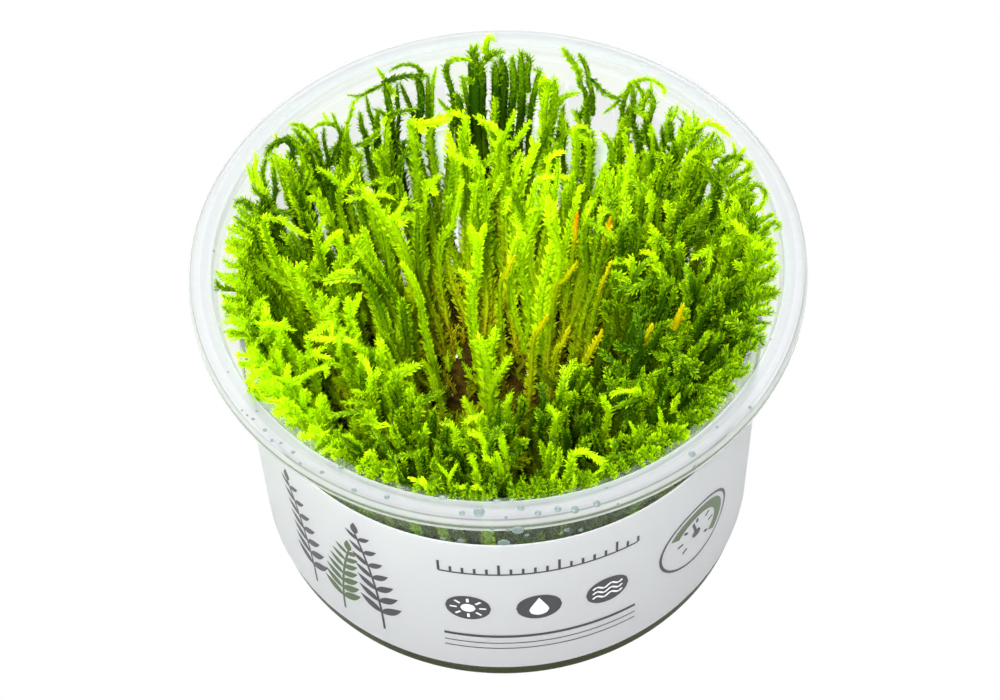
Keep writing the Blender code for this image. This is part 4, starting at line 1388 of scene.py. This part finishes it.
def placed_shoots(chance):
    """Every listed shoot, sorted by the tuft it grows in."""
    sorted_shoots = {}
    for number, shoot in enumerate(BACK_SHOOTS + MIDDLE_SHOOTS + FRONT_SHOOTS):
        _, tip_level, tone, size, spread, branches, positions = shoot
        if number < len(BACK_SHOOTS):
            size *= BACK_FULLNESS
        path, root = placed_path(tip_level, branches, positions, size)
        gap = 0.75 if tone > 0.8 else 0.9
        spin = 0.5 * math.pi + chance.uniform(-0.4, 0.4)
        values = (path, tone, size, spread, PLACED_YOUNG, spin, gap)
        sorted_shoots.setdefault(tuft_of(root), []).append(values)
    for _, tip_level, tone, gold, size, gold_reach, positions in GOLD_SHOOTS:
        path, root = placed_path(tip_level, False, positions, size)
        spin = 0.5 * math.pi + chance.uniform(-0.4, 0.4)
        values = (path, tone, size, 0.5, PLACED_YOUNG, spin, 0.8, gold, gold_reach)
        sorted_shoots.setdefault(tuft_of(root), []).append(values)
    return sorted_shoots


def lightness(x, y):
    """How much lighter the moss is round a place than elsewhere, partly its own tone and partly painted light
    and shade.
    """
    total = 0.06 * math.sin(0.33 * x + 1.3) * math.sin(0.29 * y + 0.12 * x + 0.4)
    for spot_x, spot_y, reach, amount in LIGHT_SPOTS:
        total += amount * math.exp(-((x - spot_x) ** 2 + (y - spot_y) ** 2) / reach ** 2)
    return total


def grow_low(shoots, third, chance):
    """Short old shoots round the hollow, lower where tweezers reach down."""
    for _ in range(LOW_SHOOTS):
        angle = -0.5 * math.pi + (2.0 * chance.random() - 1.0 + 2.0 * third) * math.pi / 3.0
        radius = LOW_REACH * math.sqrt(chance.random())
        root = (radius * math.cos(angle), radius * math.sin(angle))
        tip = chance.uniform(*LOW_TIPS)
        if abs(root[0]) < HOLLOW_HALF_WIDTH and HOLLOW_FRONT < root[1] < HOLLOW_BACK:
            tip = HOLLOW_TIP
        path = grown_path(root, tip, chance, 1.5)
        if chance.random() < 0.8:
            path = cleared(path)
        curl_tip(path, chance, 1.2, 1.5, 0.5)
        shoots.add(path, 0.2, chance.uniform(0.8, 1.2), 0.9, 4.0, chance.uniform(-0.8, 0.8))


def grow_tuft(ring, sector, number, count, chance):
    """All the shoots of one tuft."""
    inner, outer, sectors, back, front = ring[1:6]
    shoots = Shoots()
    sweep = 2.0 * math.pi / sectors
    start = -0.5 * math.pi + (sector - 0.5) * sweep
    behind = max(0.0, -math.cos(sector * sweep))
    beside = math.sin(sector * sweep) ** 2
    count = round(count * (1.0 - BACK_THINNING * behind + SIDE_FILLING * beside))
    for index in range(count):
        share = (index + chance.random()) / count
        angle = start + sweep * share
        radius = math.sqrt(inner ** 2 + (outer ** 2 - inner ** 2) * chance.random())
        root = warped(radius * math.cos(angle), radius * math.sin(angle))
        depth = 0.5 + 0.5 * root[1] / RINGS[0][2]
        tip = front + (back - front) * depth
        at_edge = min(max((radius - 27.0) / 6.0, 0.0), 1.0)
        tip -= abs(chance.gauss(0.0, (6.0 - 1.0 * depth) * (1.0 - 0.75 * at_edge)))
        if ring[0] == "outer":
            tip -= BACK_SINKING * behind * chance.random()
        if ring[0] == "inner":
            tip -= INNER_SINKING * chance.random()
        tone = 0.28 + lightness(*root)
        if chance.random() < 0.09 + 1.1 * lightness(*root):
            tone += chance.uniform(0.35, 0.55)
            size = chance.uniform(0.85, 1.2)
            spread = chance.uniform(0.6, 1.05)
            gap = 0.8
        else:
            tone += chance.gauss(0.0, 0.10)
            size = chance.uniform(0.75, 1.25)
            spread = chance.uniform(0.6, 0.95)
            gap = 1.0
        spin = chance.uniform(-0.8, 0.8)
        path = grown_path(root, tip - 2.0, chance)
        whole = len(path)
        path = cleared(path)
        style = chance.random()
        if len(path) < whole:
            # Painted shade: shoots cut off short in a clearing stand deep in the hollow and are made darker.
            tone -= 0.1
        elif style < 0.3:
            turn = chance.uniform(1.0, 2.6)
            bend = chance.uniform(1.3, 2.6)
            curl_tip(path, chance, turn, bend, chance.uniform(0.0, 2.0))
        elif style < 0.45:
            curl_tip(path, chance, 1.4, 2.0, chance.uniform(1.5, 5.0))
        else:
            curl_tip(path, chance, 0.4, 6.0, 0.5)
        shoots.add(path, tone, size, spread, chance.uniform(3.0, 8.0), spin, gap)
        for _ in range(chance.choice((0, 0, 1, 1, 2))):
            branch = side_branch(path, chance, chance.uniform(3.0, 7.0))
            shoots.add(branch, tone + 0.1, size * 0.8, 0.9, 5.0, spin, gap)
        if ring[0] == "outer" and behind < 0.6 and index % 3 != 0:
            branch = edge_branch(path, chance)
            shoots.add(branch, tone + 0.05, size, 0.9, 7.0, spin, gap)
    if ring[0] == "inner":
        grow_low(shoots, number - 1, chance)
    return shoots


def stored(tree, geometry, name, value, domain="POINT"):
    """Geometry with a number kept on it under a name for the material to read."""
    return add_node(tree, "GeometryNodeStoreNamedAttribute", {
        "Geometry": geometry, "Name": name, "Value": value}, data_type="FLOAT", domain=domain).outputs[0]


def leaf_blade(tree, length, width):
    """A pointed, folded leaf of two triangles that points up along Z."""
    sheet = add_node(tree, "GeometryNodeMeshGrid", {"Vertices X": 2, "Vertices Y": 2}).outputs[0]
    across = add_node(tree, "ShaderNodeCombineXYZ", {0: width, 1: width, 2: length}).outputs[0]
    corner = add_node(tree, "GeometryNodeIndexSwitch", {
        "Index": add_node(tree, "GeometryNodeInputIndex").outputs[0]}, data_type="VECTOR")
    while len(corner.index_switch_items) < len(LEAF_CORNERS):
        corner.index_switch_items.new()
    for number, place in enumerate(LEAF_CORNERS):
        corner.inputs[number + 1].default_value = place
    scaled = add_node(tree, "ShaderNodeVectorMath", {0: corner.outputs[0], 1: across}, operation="MULTIPLY")
    shaped = add_node(tree, "GeometryNodeSetPosition", {
        "Geometry": sheet, "Position": scaled.outputs[0]}).outputs[0]
    height = add_node(tree, "ShaderNodeSeparateXYZ", {0: corner.outputs[0]}).outputs[2]
    return stored(tree, shaped, "along", math_node(tree, "SUBTRACT", height, LEAF_CORNERS[0][2]))


def leafy_tree():
    """Geometry Nodes that clothe centre lines with a stem and four ranks of pointed leaves."""
    tree = bpy.data.node_groups.new("leafy_shoots", "GeometryNodeTree")
    face = tree.interface
    face.new_socket("Geometry", in_out="INPUT", socket_type="NodeSocketGeometry")
    for name in ("Leaf Length", "Leaf Width", "Leaf Spacing", "Leaf Angle", "Stem Radius"):
        face.new_socket(name, in_out="INPUT", socket_type="NodeSocketFloat")
    face.new_socket("Seed", in_out="INPUT", socket_type="NodeSocketInt")
    face.new_socket("Material", in_out="INPUT", socket_type="NodeSocketMaterial")
    face.new_socket("Geometry", in_out="OUTPUT", socket_type="NodeSocketGeometry")
    given = tree.nodes.new("NodeGroupInput").outputs
    curve = add_node(tree, "GeometryNodeMeshToCurve", {"Mesh": given["Geometry"]}).outputs[0]

    def carried(name):
        return add_node(tree, "GeometryNodeInputNamedAttribute", {"Name": name}, data_type="FLOAT").outputs[0]

    def between(low, high, step):
        seed = math_node(tree, "ADD", given["Seed"], float(step))
        return add_node(tree, "FunctionNodeRandomValue", {2: low, 3: high, "Seed": seed},
                        data_type="FLOAT").outputs[1]

    size = carried("leaf_size")
    spacing = math_node(tree, "MULTIPLY", given["Leaf Spacing"], carried("gap"))
    points = add_node(tree, "GeometryNodeCurveToPoints", {"Curve": curve, "Length": spacing}, mode="LENGTH")
    index = add_node(tree, "GeometryNodeInputIndex").outputs[0]
    rank = math_node(tree, "MODULO", index, 4.0)
    facing = math_node(tree, "MODULO", index, 2.0)
    about = math_node(tree, "MULTIPLY_ADD", rank, 0.5 * math.pi, carried("spin"))
    about = math_node(tree, "ADD", about, between(-0.5, 0.5, 1))
    lean = math_node(tree, "MULTIPLY_ADD", facing, -0.25, 1.0)
    opening = math_node(tree, "MULTIPLY", given["Leaf Angle"], carried("spread"))
    lean = math_node(tree, "MULTIPLY", lean, opening)
    lean = math_node(tree, "ADD", lean, between(-0.2, 0.2, 2))
    roll = math_node(tree, "MULTIPLY_ADD", facing, 0.5 * math.pi, between(-0.6, 0.6, 3))
    turned = points.outputs["Rotation"]
    for axis, amount in (((0.0, 0.0, 1.0), about), ((0.0, 1.0, 0.0), lean), ((0.0, 0.0, 1.0), roll)):
        by = add_node(tree, "FunctionNodeAxisAngleToRotation", {"Axis": axis, "Angle": amount}).outputs[0]
        turned = add_node(
            tree, "FunctionNodeRotateRotation", {0: turned, 1: by}, rotation_space="LOCAL").outputs[0]
    vary = math_node(tree, "MULTIPLY", between(0.7, 1.2, 4), size)
    blade = leaf_blade(tree, given["Leaf Length"], given["Leaf Width"])
    kept = add_node(tree, "FunctionNodeCompare", {0: between(0.0, 1.0, 6), 1: carried("cover")},
                    data_type="FLOAT", operation="LESS_THAN").outputs[0]
    leaves = add_node(tree, "GeometryNodeInstanceOnPoints", {
        "Points": points.outputs["Points"], "Selection": kept, "Instance": blade, "Rotation": turned,
        "Scale": vary}).outputs[0]
    leaves = stored(tree, leaves, "fleck", between(0.0, 1.0, 5), "INSTANCE")

    line = add_node(tree, "GeometryNodeResampleCurve", {"Curve": curve, "Length": 0.0014}, mode="LENGTH")
    girth = math_node(tree, "MULTIPLY", carried("girth"), given["Stem Radius"])
    ring = add_node(tree, "GeometryNodeCurvePrimitiveCircle", {"Resolution": 4, "Radius": 1.0}).outputs[0]
    stem = add_node(tree, "GeometryNodeCurveToMesh", {
        "Curve": line.outputs[0], "Profile Curve": ring, "Scale": girth, "Fill Caps": True}).outputs[0]
    joined = tree.nodes.new("GeometryNodeJoinGeometry")
    for part in (stem, leaves):
        tree.links.new(part, joined.inputs[0])
    real = add_node(tree, "GeometryNodeRealizeInstances", {"Geometry": joined.outputs[0]}).outputs[0]
    done = add_node(tree, "GeometryNodeSetMaterial", {"Geometry": real, "Material": given["Material"]})
    output = tree.nodes.new("NodeGroupOutput")
    tree.links.new(done.outputs[0], output.inputs[0])
    return tree


def clothed(name, source, tree, inputs):
    """Run a tree on a mesh and return the result as a plain mesh."""
    carrier = bpy.data.objects.new(name + "_lines", source)
    bpy.context.scene.collection.objects.link(carrier)
    modifier = carrier.modifiers.new("grow", "NODES")
    modifier.node_group = tree
    for item in tree.interface.items_tree:
        if item.item_type == "SOCKET" and item.in_out == "INPUT" and item.name in inputs:
            modifier[item.identifier] = inputs[item.name]
    depsgraph = bpy.context.evaluated_depsgraph_get()
    evaluated = carrier.evaluated_get(depsgraph)
    mesh = bpy.data.meshes.new_from_object(evaluated, preserve_all_data_layers=True, depsgraph=depsgraph)
    mesh.name = name
    bpy.data.objects.remove(carrier, do_unlink=True)
    return mesh


def moss_green():
    """Living moss: brown and yellow low down, then green, lighter at young tips; part of this is painted
    light and shade, noted below.
    """
    material, tree, output = new_material("moss_green")
    names = ("tone", "gold", "youth_and_depth_shade", "low", "fleck", "along")
    tone, gold, youth_and_depth_shade, low, fleck, along = [
        add_node(tree, "ShaderNodeAttribute", attribute_name=name).outputs["Fac"] for name in names]
    place = add_node(tree, "ShaderNodeTexCoord").outputs["Object"]
    patch = noise(tree, place, 90.0)
    grain = noise(tree, place, 1700.0)
    grain = add_node(tree, "ShaderNodeMapRange", {
        "Value": grain, "From Min": 0.35, "From Max": 0.65, "To Min": -0.13, "To Max": 0.13}).outputs[0]
    shade = math_node(tree, "MULTIPLY_ADD", patch, 0.5, -0.30)
    shade = math_node(tree, "ADD", shade, tone)
    shade = math_node(tree, "ADD", shade, grain)
    # Painted shade: each shoot lighter near its tip and darker further down into the clump, on top of the
    # lighter green of young growth.
    shade = math_node(tree, "ADD", shade, math_node(tree, "MULTIPLY_ADD", youth_and_depth_shade, 0.34, -0.06))
    shade = math_node(tree, "ADD", shade, math_node(tree, "MULTIPLY_ADD", fleck, 0.18, -0.06))
    # Painted light and shade: each leaf lighter towards its tip and darker at its base; stems, which carry
    # neither along nor fleck, come out darker still.
    shade = math_node(tree, "ADD", shade, math_node(tree, "MULTIPLY_ADD", along, 0.40, -0.12), clamp=True)
    greens = color_ramp(
        tree, shade, (0.0, (0.03, 0.10, 0.001)), (0.3, (0.15, 0.33, 0.001)),
        (0.65, (0.43, 0.70, 0.001)), (1.0, (0.66, 0.96, 0.004)))
    blotch = noise(tree, place, 260.0, 3.0)
    old = math_node(tree, "ADD", low, math_node(tree, "MULTIPLY_ADD", blotch, 0.7, -0.35))
    old = math_node(tree, "ADD", old, math_node(tree, "MULTIPLY_ADD", fleck, 0.36, -0.18))
    # The same painted light and shade in old growth: leaves browner at the base, less brown towards the tip.
    old = math_node(tree, "ADD", old, math_node(tree, "MULTIPLY_ADD", along, -0.30, 0.10), clamp=True)
    # Low down the old growth has its own yellow and brown, partly painted light: the bright yellow middle
    # stands for light from the lit paper behind, the near black end for shade at the very bottom.
    olds = color_ramp(
        tree, old, (0.0, (0.28, 0.52, 0.001)), (0.4, (0.46, 0.66, 0.002)),
        (0.7, (0.55, 0.62, 0.004)), (0.88, (0.38, 0.32, 0.005)), (1.0, (0.07, 0.04, 0.001)))
    # Painted shade: old growth darker towards the hollow's right side, read from object X, and lighter where
    # the tone is high.
    across = add_node(tree, "ShaderNodeSeparateXYZ", {0: place}).outputs[0]
    shaded = add_node(tree, "ShaderNodeMapRange", {
        "Value": across, "From Min": 0.002, "From Max": 0.009}).outputs[0]
    lit = math_node(tree, "MULTIPLY_ADD", shaded, -0.55, math_node(tree, "MULTIPLY", tone, 2.2), clamp=True)
    olds = mix_color(tree, lit, (0.13, 0.20, 0.001), olds)
    aged = math_node(tree, "MULTIPLY", low, 1.7, clamp=True)
    color = mix_color(tree, aged, greens, olds)
    # Painted glow: gold and orange where light shines through the spears.
    golds = color_ramp(
        tree, gold, (0.3, (0.62, 0.62, 0.002)), (0.6, (0.80, 0.72, 0.002)), (1.0, (0.95, 0.48, 0.002)))
    golden = math_node(tree, "MULTIPLY", gold, 1.8, clamp=True)
    color = mix_color(tree, golden, color, golds)
    leaf = add_node(tree, "ShaderNodeBsdfPrincipled", {
        "Base Color": color, "Roughness": 0.5, "Specular IOR Level": 0.08})
    glow = add_node(tree, "ShaderNodeBsdfTranslucent", {"Color": color})
    shader = add_node(tree, "ShaderNodeMixShader", {0: 0.45, 1: leaf.outputs[0], 2: glow.outputs[0]})
    return surfaced(material, tree, output, shader)


# Stage

def aim_light(name, data, place, aim):
    light = bpy.data.objects.new(name, data)
    light.location = place
    light.rotation_euler = (Vector(aim) - Vector(place)).to_track_quat("-Z", "Y").to_euler()
    bpy.context.scene.collection.objects.link(light)


def add_softbox(name, place, aim, size, power):
    data = bpy.data.lights.new(name, "AREA")
    data.size = size
    data.energy = power
    aim_light(name, data, place, aim)


def add_snoot(name, place, aim, angle, size, power):
    """A soft-edged beam that is as wide as the tub's mouth."""
    data = bpy.data.lights.new(name, "SPOT")
    data.spot_size = angle
    data.spot_blend = 0.35
    data.shadow_soft_size = size
    data.energy = power
    aim_light(name, data, place, aim)


def add_camera():
    place, right, up, forward = camera_axes()
    data = bpy.data.cameras.new("camera")
    data.lens = CAMERA_LENS
    data.sensor_width = SENSOR_WIDTH
    data.clip_start = 0.01
    data.clip_end = 20.0
    camera = bpy.data.objects.new("camera", data)
    axes = Matrix((right, up, -forward)).transposed()
    camera.matrix_world = Matrix.Translation(place * MM) @ axes.to_4x4()
    bpy.context.scene.collection.objects.link(camera)
    bpy.context.scene.camera = camera


# Settings

class TubSettings(bpy.types.PropertyGroup):
    segments: IntProperty(name="Segments", description="Steps round the tub", default=160, min=32)


def length_setting(name, description, metres):
    return FloatProperty(
        name=name, description=description, default=metres, unit="LENGTH", subtype="DISTANCE")


class MossSettings(bpy.types.PropertyGroup):
    leaf_length: length_setting("Leaf Length", "Length of one leaf", 0.00105)
    leaf_width: length_setting("Leaf Width", "Half width of a leaf", 0.00016)
    leaf_spacing: length_setting("Leaf Spacing", "Distance between leaves along a shoot", 0.000083)
    leaf_angle: FloatProperty(
        name="Leaf Angle", description="How far a leaf leans from its shoot", default=0.92, unit="ROTATION",
        subtype="ANGLE")
    stem_radius: length_setting("Stem Radius", "Radius of a shoot's stem", 0.00050)
    seed: IntProperty(name="Seed", description="Changes the moss's irregularity", default=7)
    outer_shoots: IntProperty(name="Outer Shoots", description="Shoots in each outer tuft", default=24)
    middle_shoots: IntProperty(name="Middle Shoots", description="Shoots in each middle tuft", default=28)
    inner_shoots: IntProperty(name="Inner Shoots", description="Shoots in each inner tuft", default=16)


def power_setting(name, light, watts):
    return FloatProperty(name=name, description=f"Power of the {light}, in watts", default=watts)


class StageSettings(bpy.types.PropertyGroup):
    floor_color: FloatVectorProperty(
        name="Floor", description="Colour that the floor throws back", default=(0.85, 0.85, 0.85),
        subtype="COLOR")
    surround: FloatProperty(name="Surround", description="Strength of the light from all round", default=0.75)
    key_power: power_setting("Key", "light from the front left", 3.0)
    overhead_power: power_setting("Overhead", "light from above", 3.0)
    back_power: power_setting("Back", "light from behind", 8.0)
    mouth_power: power_setting("Mouth", "beam into the mouth", 60.0)


# Operators

class MOSSTUB_OT_tub(bpy.types.Operator):
    """Build the clear tub"""

    bl_idname = "mosstub.tub"
    bl_label = "Tub"

    def execute(self, context):
        mesh = turned_mesh("tub", softened(tub_profile(), 0.22, 2), context.scene.tub_settings.segments)
        mesh.materials.append(clear_plastic())
        finished("tub", mesh, "clear_plastic", "cup")
        mesh = drops_mesh("water_drops", ("flange", "seat", "lip", "wall"), 0.35)
        mesh.materials.append(clear_water())
        finished("water_drops", mesh, "clear_plastic")
        return {"FINISHED"}


class MOSSTUB_OT_wrap(bpy.types.Operator):
    """Build the paper wrap"""

    bl_idname = "mosstub.wrap"
    bl_label = "Paper Wrap"

    def execute(self, context):
        mesh = wrap_mesh(240, 6)
        mesh.materials.append(wrap_paper("wrap_paper", (0.85, 0.84, 0.92), (0.98, 0.94, 1.0)))
        # The pale green of the wrap's inside is painted light bounced onto it from the moss.
        mesh.materials.append(wrap_paper("wrap_inside_green_bounce", (0.72, 0.86, 0.66), (0.78, 0.90, 0.72)))
        finished("paper_wrap", mesh, "paper_wrap", "label_wrap")
        mesh = draw_print()
        for name, color in INKS.items():
            mesh.materials.append(ink_material(name, color))
        finished("wrap_print", mesh, "paper_wrap")
        return {"FINISHED"}


class MOSSTUB_OT_bed(bpy.types.Operator):
    """Finish the gel and the old growth on it"""

    bl_idname = "mosstub.bed"
    bl_label = "Gel and Old Growth"

    def execute(self, context):
        for name, material in (("nutrient_gel", wet_gel()), ("old_growth_mat", old_stems())):
            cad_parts[name].data.materials.clear()
            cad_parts[name].data.materials.append(material)
        mesh = drops_mesh("wet_glints", ("bed",), 0.6)
        mesh.materials.append(brown_water())
        finished("wet_glints", mesh, "gel")
        return {"FINISHED"}


class MOSSTUB_OT_moss(bpy.types.Operator):
    """Grow every tuft of moss"""

    bl_idname = "mosstub.moss"
    bl_label = "Moss"

    def execute(self, context):
        settings = context.scene.moss_settings
        counts = {
            "outer": settings.outer_shoots,
            "middle": settings.middle_shoots,
            "inner": settings.inner_shoots,
        }
        tree = leafy_tree()
        inputs = {
            "Leaf Length": settings.leaf_length,
            "Leaf Width": settings.leaf_width,
            "Leaf Spacing": settings.leaf_spacing,
            "Leaf Angle": settings.leaf_angle,
            "Stem Radius": settings.stem_radius,
            "Material": moss_green(),
        }
        placed = placed_shoots(random.Random(settings.seed))
        for ring in RINGS:
            number = 0
            for sector in range(ring[3]):
                if sector in ring[6]:
                    continue
                number += 1
                name = f"moss_{ring[0]}_{number:02d}"
                chance = random.Random(f"{settings.seed} {name}")
                shoots = grow_tuft(ring, sector, number, counts[ring[0]], chance)
                for values in placed.get((ring[0], sector), ()):
                    shoots.add(*values)
                inputs["Seed"] = settings.seed + 10 * number
                mesh = clothed(name, shoots.mesh(name + "_lines"), tree, inputs)
                finished(name, mesh, "green_moss", f"moss_tuft_{ring[0]}_{number:02d}")
        return {"FINISHED"}


class MOSSTUB_OT_stage(bpy.types.Operator):
    """Set the floor, the lights and the camera"""

    bl_idname = "mosstub.stage"
    bl_label = "Stage"

    def execute(self, context):
        scene = context.scene
        settings = scene.stage_settings
        scene.view_settings.view_transform = "Standard"
        world = bpy.data.worlds.new("studio")
        world.use_nodes = True
        tree = world.node_tree
        seen = add_node(tree, "ShaderNodeLightPath").outputs["Is Camera Ray"]
        strength = add_node(tree, "ShaderNodeMapRange", {
            "Value": seen, "To Min": settings.surround, "To Max": 1.0}).outputs[0]
        tree.links.new(strength, tree.nodes["Background"].inputs["Strength"])
        tree.nodes["Background"].inputs["Color"].default_value = (1.0, 1.0, 1.0, 1.0)
        scene.world = world
        material, tree, output = new_material("pale_floor")
        matte = add_node(tree, "ShaderNodeBsdfDiffuse", {"Color": (*settings.floor_color, 1.0)})
        white = add_node(tree, "ShaderNodeEmission", {"Color": (1.0, 1.0, 1.0, 1.0), "Strength": 1.0})
        seen = add_node(tree, "ShaderNodeLightPath").outputs["Is Camera Ray"]
        shader = add_node(tree, "ShaderNodeMixShader", {0: seen, 1: matte.outputs[0], 2: white.outputs[0]})
        tree.links.new(shader.outputs[0], output.inputs["Surface"])
        mesh = bpy.data.meshes.new("floor")
        mesh.from_pydata([(-3, -3, 0), (3, -3, 0), (3, 3, 0), (-3, 3, 0)], [], [(0, 1, 2, 3)])
        mesh.materials.append(material)
        floor = bpy.data.objects.new("floor", mesh)
        scene.collection.objects.link(floor)
        middle = (0.0, 0.0, 0.04)
        add_softbox("key", (-0.35, -0.35, 0.75), middle, 0.35, settings.key_power)
        add_softbox("overhead", (0.0, 0.05, 0.75), middle, 0.7, settings.overhead_power)
        add_softbox("back", (0.0, 0.75, 0.40), middle, 0.6, settings.back_power)
        add_snoot("mouth", (-0.06, -0.45, 0.70), (0.0, 0.003, 0.06), 0.125, 0.05, settings.mouth_power)
        add_camera()
        return {"FINISHED"}


class MOSSTUB_PT_panel(bpy.types.Panel):
    """Settings and steps of the moss tub"""

    bl_idname = "MOSSTUB_PT_panel"
    bl_label = "Moss Tub"
    bl_space_type = "VIEW_3D"
    bl_region_type = "UI"
    bl_category = "Moss Tub"

    def draw(self, context):
        layout = self.layout
        scene = context.scene
        for settings in (scene.tub_settings, scene.moss_settings, scene.stage_settings):
            for key in settings.__annotations__:
                layout.prop(settings, key)
        for step in STEPS:
            layout.operator(step.bl_idname)


STEPS = (MOSSTUB_OT_tub, MOSSTUB_OT_wrap, MOSSTUB_OT_bed, MOSSTUB_OT_moss, MOSSTUB_OT_stage)
CLASSES = (TubSettings, MossSettings, StageSettings, *STEPS, MOSSTUB_PT_panel)


def register():
    for item in CLASSES:
        bpy.utils.register_class(item)
    bpy.types.Scene.tub_settings = PointerProperty(type=TubSettings)
    bpy.types.Scene.moss_settings = PointerProperty(type=MossSettings)
    bpy.types.Scene.stage_settings = PointerProperty(type=StageSettings)


def unregister():
    del bpy.types.Scene.stage_settings
    del bpy.types.Scene.moss_settings
    del bpy.types.Scene.tub_settings
    for item in reversed(CLASSES):
        bpy.utils.unregister_class(item)


def main():
    register()
    bpy.ops.mosstub.tub()
    bpy.ops.mosstub.wrap()
    bpy.ops.mosstub.bed()
    bpy.ops.mosstub.moss()
    bpy.ops.mosstub.stage()


if __name__ == "__main__":
    main()
